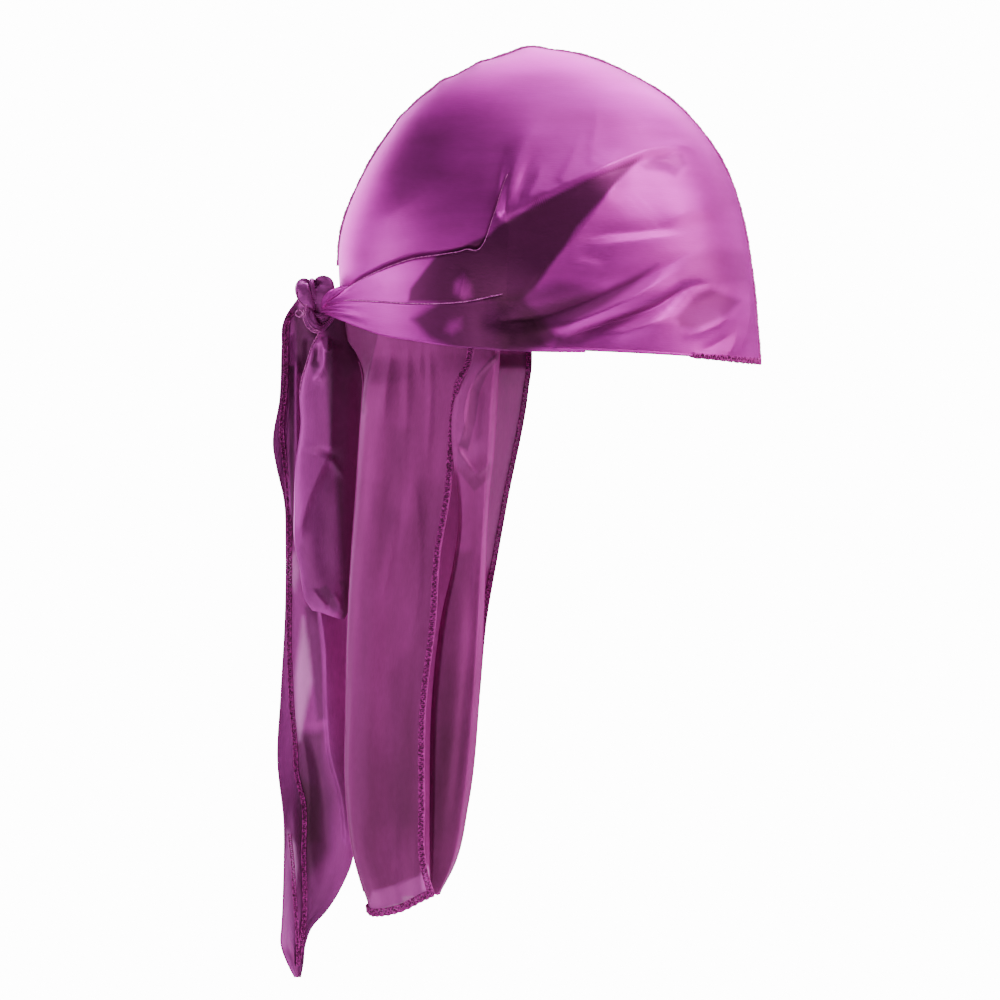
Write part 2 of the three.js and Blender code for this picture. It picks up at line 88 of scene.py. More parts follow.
def through(rows, at):
    """Each column of a table as a smooth curve of its first column, read at the values in at.

    Between two rows it is the cubic that has both rows' values and the mean slopes there.
    """
    rows = np.asarray(rows, float)
    place, value = rows[:, 0], rows[:, 1:]
    slope = np.gradient(value, place, axis=0)
    at = np.clip(at, place[0], place[-1])
    i = np.clip(np.searchsorted(place, at, side="right") - 1, 0, len(place) - 2)
    span = place[i + 1] - place[i]
    t = ((at - place[i]) / span)[..., None]
    span = span[..., None]
    found = (
        (2 * t**3 - 3 * t**2 + 1) * value[i]
        + (t**3 - 2 * t**2 + t) * span * slope[i]
        + (3 * t**2 - 2 * t**3) * value[i + 1]
        + (t**3 - t**2) * span * slope[i + 1]
    )
    return [found[..., k] for k in range(value.shape[1])]


def spaced(path, count):
    """count points on the smooth curve through a path's points, evenly spaced by chord."""
    path = np.asarray(path, float)
    chord = np.r_[0, np.cumsum(np.linalg.norm(np.diff(path, axis=0), axis=1))]
    table = np.c_[chord, path]
    return np.stack(through(table, np.linspace(0, chord[-1], count)), axis=-1)


def unit(vectors):
    """Vectors scaled to length 1."""
    return vectors / np.maximum(np.linalg.norm(vectors, axis=-1, keepdims=True), 1e-9)


def turned_out(normal, point):
    """Normals with their signs set so that each points the way that its point lies."""
    return normal * np.sign((normal * point).sum(-1, keepdims=True))


tent = [[0, 0], [1, 1], [2, 0]]
print("a table through 0, 1 and 0, read at 0.5 and 1:", through(tent, np.array([0.5, 1]))[0])

# %% [markdown]
# ## Folds
#
# Cloth could be simulated, but then each fold falls where it likes. A worn durag has folds in
# known places, so each one is drawn: a height added to a surface, which depends on how far a
# point is from the fold's path in the side view.

# %% Folds


def fold(x, z, path, lift, left, right, crisp, ends):
    """Height of one fold at the points (x, z), in millimetres.

    The nearest point of the path gives a distance d. The height is
    lift * exp(-(d / width)^crisp), with one width on the path's left and one on its right. A
    width may be a pair, at the path's start and end. The height fades in from the path's start
    to the first share in ends, and out from the second share to the path's end. Points well
    beyond the widths are left at 0.
    """
    line = spaced(path, 20)
    reach = 3.2 * max(np.max(left), np.max(right))
    close = np.abs(x - line[:, 0].mean()) < np.ptp(line[:, 0]) / 2 + reach + 8
    close &= (z > line[:, 1].min() - reach) & (z < line[:, 1].max() + reach)
    height = np.zeros_like(x)
    px, pz = x[close][:, None], z[close][:, None]
    if not len(px):
        return height
    step = np.diff(line, axis=0)
    span = np.hypot(step[:, 0], step[:, 1])
    before = np.r_[0, np.cumsum(span)][:-1]
    dx, dz = px - line[:-1, 0], pz - line[:-1, 1]
    t = np.clip((dx * step[:, 0] + dz * step[:, 1]) / span**2, 0, 1)
    away = np.hypot(dx - t * step[:, 0], dz - t * step[:, 1])
    nearest = away.argmin(1)
    pick = np.arange(len(nearest)), nearest
    side = (step[:, 0] * dz - step[:, 1] * dx)[pick]
    along = (before + t * span)[pick] / span.sum()
    wide = [np.interp(along, [0, 1], np.broadcast_to(w, 2)) for w in (left, right)]
    width = np.where(side > 0, *wide)
    fade = smooth(along, 0, ends[0]) * (1 - smooth(along, ends[1], 1))
    height[close] = lift * fade * np.exp(-((away[pick] / width) ** crisp))
    return height


def folds(x, z, rows):
    """The heights of all the folds in a table, added up."""
    total = np.zeros_like(x)
    for row in rows:
        total += fold(x, z, *row)
    return total


level_fold = ([(-10, 0), (0, 0), (10, 0)], 2.0, 3, 3, 1.6, (0.2, 0.8))
print("a level fold at 0, 3 and 6 mm from its path:", fold(np.zeros(3), np.array([0, 3, 6.0]), *level_fold))

# %% [markdown]
# ## Areas of painted shade
#
# Shade that the surfaces here are too coarse to make is painted on. Each area of painted shade,
# or of painted light that takes it away again, is a polygon in the side view with a soft edge.
# It could be painted as an image, but a polygon has no pixels and is easy to move. It goes into
# the mesh as an attribute, so the painted shade stays on the cloth from every side.

# %% Areas of painted shade


def area(x, z, corners, soft):
    """1 inside a polygon and 0 outside it, over an edge that is soft millimetres wide."""
    corners = np.asarray(corners, float)
    inside = np.zeros(x.shape, bool)
    away = np.full(x.shape, np.inf)
    for (ax, az), (bx, bz) in zip(corners, np.roll(corners, -1, axis=0)):
        run, rise = bx - ax, bz - az
        inside ^= ((az > z) != (bz > z)) & (x < ax + (z - az) * run / (rise or 1e-9))
        t = np.clip(((x - ax) * run + (z - az) * rise) / (run**2 + rise**2), 0, 1)
        away = np.minimum(away, np.hypot(x - ax - t * run, z - az - t * rise))
    return smooth(np.where(inside, away, -away), -soft / 2, soft / 2)


def shading(points, rows, near=1000.0):
    """How much painted shade each point gets, from 0 to 1.

    It is 1 - the product of (1 - strength * area) over the rows. A row with a negative strength
    takes that share of the painted shade away again, which paints light. Points whose y is above
    near get none.
    """
    x, z = points[..., 0], points[..., 2]
    light = np.ones(x.shape)
    for corners, strength, soft in rows:
        inside = area(x, z, corners, soft)
        light = mix(light, 1, -strength * inside) if strength < 0 else light * (1 - strength * inside)
    return (1 - light) * (1 - smooth(points[..., 1], near - 8, near))


square = [(-5, -5), (5, -5), (5, 5), (-5, 5)]
print("a square's area at 0, 5 and 9 mm:", area(np.array([0, 5, 9.0]), np.zeros(3), square, 2))

# %% [markdown]
# ## From a grid of points to cloth
#
# Every piece is a grid of points. The mesh joins each point to its neighbours, and its UV map
# holds the distance run over the cloth in metres, so that a weave keeps its size however the
# cloth hangs.

# %% Grids into meshes


def make_mesh(name, points, faces, material, uv=None):
    """A smooth-shaded mesh object at the origin from points in millimetres and a list of faces."""
    mesh = bpy.data.meshes.new(name)
    mesh.from_pydata((points.reshape(-1, 3) * MM).tolist(), [], faces)
    mesh.polygons.foreach_set("use_smooth", np.ones(len(mesh.polygons), bool))
    if uv is not None:
        layer = mesh.uv_layers.new(name="cloth")
        corner = np.empty(len(mesh.loops), np.int32)
        mesh.loops.foreach_get("vertex_index", corner)
        layer.data.foreach_set("uv", uv.reshape(-1, 2)[corner].ravel())
    mesh.update()
    piece = bpy.data.objects.new(name, mesh)
    bpy.context.scene.collection.objects.link(piece)
    mesh.materials.append(material)
    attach(piece, "root")
    return piece


def grid_faces(rows, columns, closed=False, flip=False):
    """Quads between neighbours of a grid; closed also joins the last column to the first."""
    i, j = np.meshgrid(np.arange(rows - 1), np.arange(columns - (not closed)), indexing="ij")
    right = (j + 1) % columns
    quads = [i * columns + j, i * columns + right, (i + 1) * columns + right, (i + 1) * columns + j]
    quads = np.stack(quads[::-1] if flip else quads, axis=-1)
    return quads.reshape(-1, 4)


def cloth_lengths(points):
    """UV of a grid: the mean distance run along its columns and its rows, in metres."""
    across = np.linalg.norm(np.diff(points, axis=1), axis=2).mean(0)
    down = np.linalg.norm(np.diff(points, axis=0), axis=2).mean(1)
    u, v = np.meshgrid(np.r_[0, np.cumsum(across)], np.r_[0, np.cumsum(down)])
    return np.stack([u, v], axis=-1) * MM


def cloth(name, points, material, flip=False, sheer=0.0, shade=0.0):
    """A sheet of cloth from a grid of points.

    sheer gives each point a painted glow, for the light through thin cloth, with a trace of
    alpha, and shade gives its painted shade, both from 0 to 1; the satin's nodes read them as
    attributes.
    """
    faces = grid_faces(*points.shape[:2], flip=flip).tolist()
    piece = make_mesh(name, points, faces, material, cloth_lengths(points))
    for key, values in (("sheer", sheer), ("shade", shade)):
        layer = piece.data.attributes.new(key, "FLOAT", "POINT")
        spread = np.broadcast_to(values, points.shape[:2])
        layer.data.foreach_set("value", spread.ravel().astype(np.float32))
    print(name, "grid:", points.shape[:2])
    return piece


def normals(points):
    """Unit normals of a grid, from the cross product of its two directions."""
    return unit(np.cross(np.gradient(points, axis=1), np.gradient(points, axis=0)))


print("faces of a 3 by 4 grid:", len(grid_faces(3, 4)))

# %% [markdown]
# ## Rolled edges and overlock thread
#
# A rolled edge, a thread and a gathered lobe are all a circle carried along a line, so one
# function makes them. The edges of a durag are overlocked: a thread zigzags over the cut edge
# and locks a thread along the edge to one a little way in. The thread is real geometry, because
# it shows in the outline and catches the light.

# %% Tubes and stitches


def tube(line, radius, sides=8, facing=(0, 1, 0), flat=1.0):
    """A tube's grid: circles of the given radius across a line, flat times as thick one way."""
    line = np.asarray(line, float)
    along = unit(np.gradient(line, axis=0))
    wide = unit(np.cross(along, np.broadcast_to(facing, along.shape)))
    thick = np.cross(wide, along)
    angle = np.linspace(0, 2 * np.pi, sides, endpoint=False)[None, :, None]
    radius = np.broadcast_to(radius, len(line))[:, None, None]
    ring = wide[:, None] * np.cos(angle) + flat * thick[:, None] * np.sin(angle)
    return line[:, None] + radius * ring


def joined(grids):
    """Points and faces of several closed-round grids as one mesh, each end closed by a cap."""
    points, faces, start = [], [], 0
    for grid in grids:
        rows, columns = grid.shape[:2]
        quads = grid_faces(rows, columns, closed=True)
        last = start + (rows - 1) * columns
        points.append(grid.reshape(-1, 3))
        faces += (quads + start).tolist()
        faces += [[start + columns - 1 - k, start + columns - 2 - k, start] for k in range(columns - 2)]
        faces += [[last, last + k + 1, last + k + 2] for k in range(columns - 2)]
        start += rows * columns
    return np.concatenate(points), faces


def tubes_piece(name, grids, material):
    """One object from several tubes."""
    points, faces = joined(grids)
    print(name, "faces:", len(faces))
    return make_mesh(name, points, faces, material)


def overlock(edge, inward, width, pitch, thread, rise):
    """Overlock thread on an edge: a zigzag between the edge and a line width inside it.

    edge is an array of points, and inward the unit direction into the cloth, one or one a
    point. The thread reaches the edge on even corners and the inner line on odd ones, and
    stands rise proud of the cloth.
    """
    inward = np.broadcast_to(inward, edge.shape)
    length = np.linalg.norm(np.diff(edge, axis=0), axis=1)
    run = np.r_[0, np.cumsum(length)]
    corners = max(int(2 * run[-1] / pitch), 4)
    at = np.linspace(0, run[-1], corners)
    place = np.stack([np.interp(at, run, edge[:, k]) for k in range(3)], axis=-1)
    into = np.stack([np.interp(at, run, inward[:, k]) for k in range(3)], axis=-1)
    odd = (np.arange(corners) % 2)[:, None]
    out = unit(np.cross(into, np.gradient(place, axis=0)))
    zigzag = place + into * (odd * width) + out * rise
    fine = spaced(zigzag, corners * 3)
    return tube(fine, thread, sides=5, facing=tuple(out[0]))


def overlocked(edge, inward, width, pitch, thread, rise):
    """The zigzag with the two threads that it locks: one along the edge and one inside it."""
    inward = np.broadcast_to(inward, edge.shape)
    out = unit(np.cross(inward, np.gradient(edge, axis=0)))
    lines = [spaced(edge + inward * width * at + out * rise, 160) for at in (0.0, 1.0)]
    made = [tube(line, thread * 1.1, sides=5, facing=tuple(out[0])) for line in lines]
    return made + [overlock(edge, inward, width, pitch, thread, rise + 0.15)]


print("points of a short tube:", tube([(0, 0, 0), (0, 0, 1), (0, 0, 2)], 1.0).shape)

# %% [markdown]
# ## Writing materials as sums
#
# A material is a net of nodes. Two small classes let it be written in one line a step: sums on
# values add Math nodes, and one method adds any other node.

# %% Shader expressions


class Value:
    """A socket that can be used in arithmetic: each operation adds its Math node."""

    def __init__(self, tree, socket):
        self.tree, self.socket = tree, socket

    def maths(self, operation, other=0.0, first=False):
        values = [other, self] if first else [self, other]
        return self.tree.node("ShaderNodeMath", {"operation": operation}, {0: values[0], 1: values[1]})

    def __add__(self, other):
        return self.maths("ADD", other)

    def __sub__(self, other):
        return self.maths("SUBTRACT", other)

    def __rsub__(self, other):
        return self.maths("SUBTRACT", other, first=True)

    def __mul__(self, other):
        return self.maths("MULTIPLY", other)

    __radd__ = __add__
    __rmul__ = __mul__


class Tree:
    """A material's nodes. node() adds any node from its type, its settings and its inputs."""

    def __init__(self, name):
        self.material = bpy.data.materials.new(name)
        self.material.use_nodes = True
        self.nodes = self.material.node_tree.nodes
        self.links = self.material.node_tree.links
        self.shader = self.nodes["Principled BSDF"]

    def put(self, socket, value):
        if isinstance(value, Value):
            self.links.new(value.socket, socket)
        else:
            socket.default_value = value

    def node(self, kind, settings=None, inputs=None, output=0):
        made = self.nodes.new(kind)
        for key, value in (settings or {}).items():
            if key == "ramp":
                fill_ramp(made.color_ramp, value)
            else:
                setattr(made, key, value)
        for key, value in (inputs or {}).items():
            self.put(made.inputs[key], value)
        return Value(self, made.outputs[output])

    def set(self, **inputs):
        for key, value in inputs.items():
            self.put(self.shader.inputs[key.replace("_", " ")], value)


def fill_ramp(ramp, stops):
    """Gives a colour ramp its stops: a list of (position, colour)."""
    while len(ramp.elements) < len(stops):
        ramp.elements.new(0.5)
    for element, (position, colour) in zip(ramp.elements, stops):
        element.position, element.color = position, (*colour, 1)


print("shader tools:", Value.__name__, Tree.__name__, fill_ramp.__name__)

# %% [markdown]
# ## Satin
#
# Satin is woven so that long threads lie on its face. Light glides along them, so the cloth is
# pale where it mirrors a lamp and deep where it does not. Part metallic and part matt gives
# that: the metallic part tints its gloss with the dye. The weave itself is a very fine bump,
# and a slow change in the dye keeps wide areas from looking like plastic. Painted shade takes
# the dye down to nearly black. One layer of the real cloth lets a little light through.
# See-through cloth looks grey against a white room, so a faint pink glow is painted in its
# place, an emission with only a trace of alpha.

# %% Satin and thread
# painted light: a pink emission stands in for light that comes through one layer of cloth
PAINTED_LIGHT_THROUGH = (0.5, 0.09, 0.42)  # the glow of one thin layer with light behind it
SHEEN_PINK = (0.9, 0.12, 0.7, 1)
GLOSS_PINK = (0.9, 0.16, 0.7, 1)


def satin(name, dye, deep, gloss, metal, coords="Object"):
    """A satin whose colour drifts between dye and deep.

    Object coordinates suit the stretched pieces, and UV those that hang, whose weave follows
    the cloth. Both noises are squeezed across the threads, the slow one less than the yarn.
    """
    tree = Tree(name)
    place = tree.node("ShaderNodeTexCoord", output=coords)
    stretch = {"Object": (6, 6, 34), "UV": (30, 5, 5)}[coords]
    slubs = tree.node("ShaderNodeMapping", None, {"Vector": place, "Scale": stretch})
    drift = tree.node("ShaderNodeTexNoise", None, {"Vector": slubs, "Scale": 3.0, "Detail": 5.0})
    fine = {"Object": (260, 260, 2600), "UV": (2600, 260, 260)}[coords]
    threads = tree.node("ShaderNodeMapping", None, {"Vector": place, "Scale": fine})
    yarn = tree.node("ShaderNodeTexNoise", None, {"Vector": threads, "Scale": 1.0, "Detail": 2.0})
    share = drift * 0.75 + yarn * 0.25
    colour = tree.node("ShaderNodeValToRGB", {"ramp": [(0.32, deep), (0.68, dye)]}, {"Fac": share})
    # turned reads the painted shade from the mesh; the mix takes the colour towards a near black
    turned = tree.node("ShaderNodeAttribute", {"attribute_name": "shade"}, output=2)
    painted_shade_colour = (0.2 * deep[0], 0.45 * deep[1] + 0.004, 0.16 * deep[2], 1)
    colour = tree.node("ShaderNodeMix", {"data_type": "RGBA"}, {0: turned, 6: colour, 7: painted_shade_colour}, output=2)
    # the thin cloth's attribute sets a painted pink glow, with a trace of alpha
    painted_glow_and_sheer = tree.node("ShaderNodeAttribute", {"attribute_name": "sheer"}, output=2)
    glow = tree.node("ShaderNodeValToRGB", {"ramp": [(0, (0, 0, 0)), (1, PAINTED_LIGHT_THROUGH)]}, {"Fac": painted_glow_and_sheer})
    bump = tree.node("ShaderNodeBump", None, {"Strength": 0.3, "Distance": 0.0002, "Height": yarn})
    tree.set(
        Base_Color=colour,
        Roughness=yarn * 0.14 + (gloss - 0.07),
        Metallic=metal,
        Normal=bump,
        Alpha=1.0 - painted_glow_and_sheer * 0.012,
        Emission_Color=glow,
        Emission_Strength=1.0,
        Specular_IOR_Level=0.12,
        Specular_Tint=GLOSS_PINK,
        Sheen_Weight=0.04,
        Sheen_Roughness=0.4,
        Sheen_Tint=SHEEN_PINK,
    )
    return tree.material


def thread_material(name, dye, deep):
    """Spun thread: matt, with a fast change between two shades of the dye."""
    tree = Tree(name)
    place = tree.node("ShaderNodeTexCoord", output="Object")
    twist = tree.node("ShaderNodeTexNoise", None, {"Vector": place, "Scale": 900.0, "Detail": 1.0})
    colour = tree.node("ShaderNodeValToRGB", {"ramp": [(0.35, deep), (0.65, dye)]}, {"Fac": twist})
    tree.set(Base_Color=colour, Roughness=0.75, Specular_IOR_Level=0.08)
    return tree.material


CROWN_SATIN = satin("crown satin", (0.58, 0.034, 0.42), (0.45, 0.03, 0.31), 0.47, 0.66)
STRAP_SATIN = satin("strap satin", (0.58, 0.034, 0.42), (0.45, 0.03, 0.31), 0.42, 0.7)
FLAP_SATIN = satin("flap satin", (0.43, 0.048, 0.268), (0.29, 0.033, 0.172), 0.56, 0.22, "UV")
TIE_SATIN = satin("tie satin", (0.54, 0.062, 0.39), (0.36, 0.044, 0.25), 0.46, 0.4, "UV")
# the knot is the strap's own cloth; its darker dye is painted shade
SHADED_KNOT_SATIN = satin("knot satin", (0.48, 0.06, 0.35), (0.23, 0.027, 0.16), 0.45, 0.35)
THREAD = thread_material("overlock thread", (0.5, 0.035, 0.3), (0.14, 0.01, 0.075))
# the pale seam thread is also the strap's edge rims, where its pale colour is a painted highlight
SEAM_THREAD = thread_material("seam thread", (0.85, 0.17, 0.6), (0.52, 0.07, 0.36))
print("materials:", len(bpy.data.materials))

# %% [markdown]
# ## The crown's form
#
# The crown is an ellipsoid that is a little fuller than an ellipse behind and at the temples,
# the shape that it takes when it is worn. A point on it has a turn, the angle round from the
# brow, and a tilt, the angle down from the top. A formula gives every later piece, such as the
# straps, an exact surface to lie on.

# %% The crown's form
CROWN_SECTIONS = np.array([
    # tilt, front, back, side: how much fuller than an ellipse
    [0, 1, 1, 1],
    [15, 1.0, 1.015, 1.02],
    [30, 1.034, 1.05, 1.06],
    [45, 1.048, 1.072, 1.085],
    [60, 1.025, 1.078, 1.075],
    [75, 1.008, 1.022, 1.04],
    [90, 1.012, 0.972, 1.0],
    [105, 1.03, 0.93, 0.97],
])


def form(turn, tilt, side):
    """Points of the crown's outside at a turn and a tilt.

    The radius is a fullness over sqrt((sin tilt / plan)^2 + (cos tilt / height)^2), where plan
    is the distance out to the plan's ellipse at that turn.
    """
    plan_x, plan_y = np.cos(turn) * HALF_LENGTH, np.sin(turn) * HALF_BREADTH
    plan = np.hypot(plan_x, plan_y)
    front, back, flank = through(CROWN_SECTIONS, np.degrees(tilt))
    full = mix(np.where(plan_x > 0, front, back), flank, np.sin(turn) ** 2)
    radius = full / np.hypot(np.sin(tilt) / plan, np.cos(tilt) / CROWN_HEIGHT)
    out = radius * np.sin(tilt) / plan
    return np.stack([out * plan_x, side * out * plan_y, radius * np.cos(tilt)], axis=-1)


def tilt_at(turn, height):
    """The tilt at which the form has a given height, found by halving."""
    low = np.zeros_like(turn + height)
    high = low + np.radians(110)
    for _ in range(26):
        middle = (low + high) / 2
        above = form(turn, middle, RIGHT)[..., 2] > height
        low, high = np.where(above, middle, low), np.where(above, high, middle)
    return (low + high) / 2


def rim_height(turn):
    """The crown's lower edge: down a little at the brow, up behind the temples."""
    brow = TEMPLE_RISE - BROW_DROP * np.maximum(np.cos(turn), 0) ** 1.5
    return mix(brow, NAPE_RISE, smooth(turn, np.radians(90), np.radians(97)))


STEP = 1e-3  # a step along the form, short enough to take its slope from


def on_form(turn, height, side, lift):
    """Points on the form at a turn and a height, lifted off it along its normal."""

    def at(turn, height):
        return form(turn, tilt_at(turn, height), side)

    point = at(turn, height)
    normal = unit(np.cross(at(turn + STEP, height) - point, at(turn, height + STEP) - point))
    return point + turned_out(normal, point) * np.asarray(lift)[..., None]


top_brow_back = form(np.array([0.0, 0.0, np.pi]), np.radians([0.0, 88.0, 80.0]), RIGHT)
print("crown top, brow, back:", top_brow_back.round(1).tolist())

# %% [markdown]
# ## Folds of the crown
#
# The straps pull the crown back and down, so its cloth lies in long folds that fan out from the
# temple to the brow. Each row is one fold as the side view shows it: a path in x and z, its
# lift, its widths on the left and right of the path, how crisp it is, and the shares of the
# path by which it has come and after which it goes.

# %% Folds of the crown
CROWN_FOLDS = [
    # path, lift, widths on its left and right, crispness, ends
    # the cloth above bulges over a crease that runs from the temple up to the front
    ([(-23, 60), (-14, 66), (-3.8, 72.1), (17.9, 82.5), (34.8, 89.9), (46, 94.5), (58, 96.8)],
     4.2, 10, 1.4, 1.4, (0.2, 0.6)),
    # the flat facet under it leans out towards the crease
    ([(-23, 59), (-3.8, 70.6), (17.9, 81), (34.8, 88.4), (48, 94)], 2.6, 0.9, 15, 1.5, (0.5, 0.55)),
    ([(34, 90), (46, 94.6), (55.5, 96.6), (64, 97), (72.4, 94.5)], 0.9, 3.4, 2.0, 1.5, (0.5, 0.6)),
    # the finger-like pleat above it and the shadow beside the pleat
    ([(-20.6, 61.5), (-19.6, 68), (-17.6, 78), (-13.5, 92), (-5, 108), (4, 120)], 1.9, (2.0, 9),
     (1.8, 9), 1.7, (0.07, 0.3)),
    ([(-25.4, 60), (-24, 74), (-22.5, 88), (-19, 102)], -1.2, 4, 1.8, 1.6, (0.2, 0.4)),
    ([(-14.5, 66), (-13.5, 74), (-10, 86), (-4, 98)], -0.8, 2.2, 3.4, 1.6, (0.2, 0.4)),
    # small gathers above the crease
    ([(23, 122), (20.6, 104), (18.4, 85)], 0.45, 3.4, 1.8, 1.5, (0.6, 0.9)),
    ([(17, 110), (11, 92), (4, 77)], 0.55, 3.4, 2.0, 1.5, (0.6, 0.9)),
    ([(-2, 90), (-6, 80), (-10, 71)], 0.5, 2.6, 1.8, 1.5, (0.5, 0.9)),
    # the long crest from the front of the crease down to the strap
    ([(40, 88), (33, 81), (22.1, 68.1), (13.2, 56.4), (2.2, 44.4), (-7.7, 33), (-20, 20)],
     5.4, (9, 17), (13, 11), 1.05, (0.26, 0.72)),
    # tension folds in front of it
    ([(9.9, 51.7), (24, 55.5), (37.6, 56.8), (52.2, 58.4), (72, 60)], -0.8, 3.0, 2.0, 1.5, (0.2, 0.5)),
    ([(13, 48.4), (33.4, 52), (49.8, 54.4), (72, 56.5)], 0.55, 1.5, 3.6, 1.5, (0.2, 0.6)),
    ([(10, 46.5), (20.2, 44.6), (32, 43.8)], -0.5, 4.4, 3.4, 1.7, (0.45, 0.55)),
    ([(6, 40), (16, 42), (26, 41)], 0.4, 2.4, 2.4, 1.7, (0.4, 0.55)),
    ([(-34, 14), (-14, 15.6), (4, 19.3), (25.8, 27.4), (47.5, 37.2), (62, 46), (72.4, 55)],
     -3.4, 5.2, 3.4, 1.35, (0.2, 0.6)),
    ([(-8, 9), (8, 14), (27.7, 21.6), (47.5, 31.6), (62, 40)], 2.6, 3.0, 3.4, 1.3, (0.3, 0.55)),
    ([(4, 6.5), (24, 12.6), (35.7, 16.4), (52.6, 23), (66.3, 31.4), (79, 34)],
     -3.2, 2.8, 3.2, 1.3, (0.2, 0.7)),
    ([(22, 7.5), (38, 11.5), (52, 16), (62, 19)], 2.0, 3.4, 4.2, 1.4, (0.3, 0.6)),
    # the hollow near the brow and the bright streaks round it
    ([(56, 17), (68, 22), (78, 26), (88, 24)], -1.9, 7.5, 6.5, 1.8, (0.45, 0.55)),
    ([(60, 7), (71, 11), (80, 15.6), (88.5, 23)], 1.3, 2.8, 2.8, 1.4, (0.4, 0.6)),
    ([(68, 0.5), (78, 4.4), (88, 11)], -0.9, 2.6, 2.6, 1.6, (0.4, 0.6)),
    ([(88, -1), (91.6, 9), (93.4, 20), (93.6, 34)], 0.7, 2.2, 2.2, 1.5, (0.3, 0.5)),
    ([(82, -2.0), (86.5, 5.7), (90, 15)], 0.6, 2.0, 2.0, 1.5, (0.3, 0.5)),
    # long soft tension lines over the plateau at the front
    ([(50, 60), (70, 67), (84, 66)], 1.2, 8, 4, 1.6, (0.4, 0.6)),
    # the soft dent under the front end of the crease
    ([(44, 90.4), (54.5, 90.8), (64, 84.6)], -1.1, 3.6, 4.6, 1.7, (0.45, 0.55)),
    # a little puff on the strap
    ([(-43, 22), (-41, 28), (-39.5, 35), (-38.5, 41)], 0.8, 3.6, 2.6, 1.7, (0.5, 0.5)),
    # soft pull lines on the back panel
    ([(-95, 62), (-74, 66), (-54, 78), (-32, 94)], 0.8, 10, 7, 1.8, (0.4, 0.6)),
    ([(-88, 36), (-66, 44), (-48, 53), (-30, 66)], -0.8, 6, 6, 1.8, (0.4, 0.6)),
]


def mirrored(rows, seed):
    """The same folds for the hidden side, with each path and lift changed a little."""
    random = np.random.default_rng(seed)
    made = []
    for path, lift, *rest in rows:
        shift = random.uniform(-2.5, 2.5, 2)
        moved = [(x + shift[0], z + shift[1]) for x, z in path]
        made.append((moved, lift * random.uniform(0.75, 1.1), *rest))
    return made


SIDE_FOLDS = {RIGHT: CROWN_FOLDS, LEFT: mirrored(CROWN_FOLDS, 4)}
print("folds on each side of the crown:", len(CROWN_FOLDS))

# %% [markdown]
# ## Strap sections
#
# A strap starts flat at the temple, in one plane with the crown's front, and narrows to a bunch
# at the knot. The table gives the strap's two edges. Crown and strap share the folds, so they
# read as one cloth where they meet.

# %% Strap sections
STRAP_SECTIONS = np.array([
    # turn, height of the lower edge, height of the upper edge
    [78, 0.6, 62],
    [90, 0.8, 76],
    [97, 1.2, 88],
    [102.8, 1.7, 82],
    [104.4, 1.9, 73],
    [107, 2.4, 55],
    [113.2, 3.2, 48.6],
    [119, 4.2, 46.8],
    [129.3, 6.4, 44.8],
    [141, 8.8, 39.9],
    [154, 13.4, 33.8],
    [164, 17.4, 29.0],
    [170, 19.2, 26.6],
    [175, 20.0, 25.6],
])


def strap_edges(turn):
    """Heights of the strap's lower and upper edge at a turn."""
    return through(STRAP_SECTIONS, np.degrees(turn))


print("strap's edges behind the temple and at the knot:", *strap_edges(np.radians([104.4, 175])))

# %% [markdown]
# ## Painted shade on the crown and the straps
#
# Under the long crease the cloth leans away from every lamp, and painted shade takes it nearly
# black. Softer painted shade lies in the hollow at the brow and over the back. Two small areas of
# the strap get painted light.

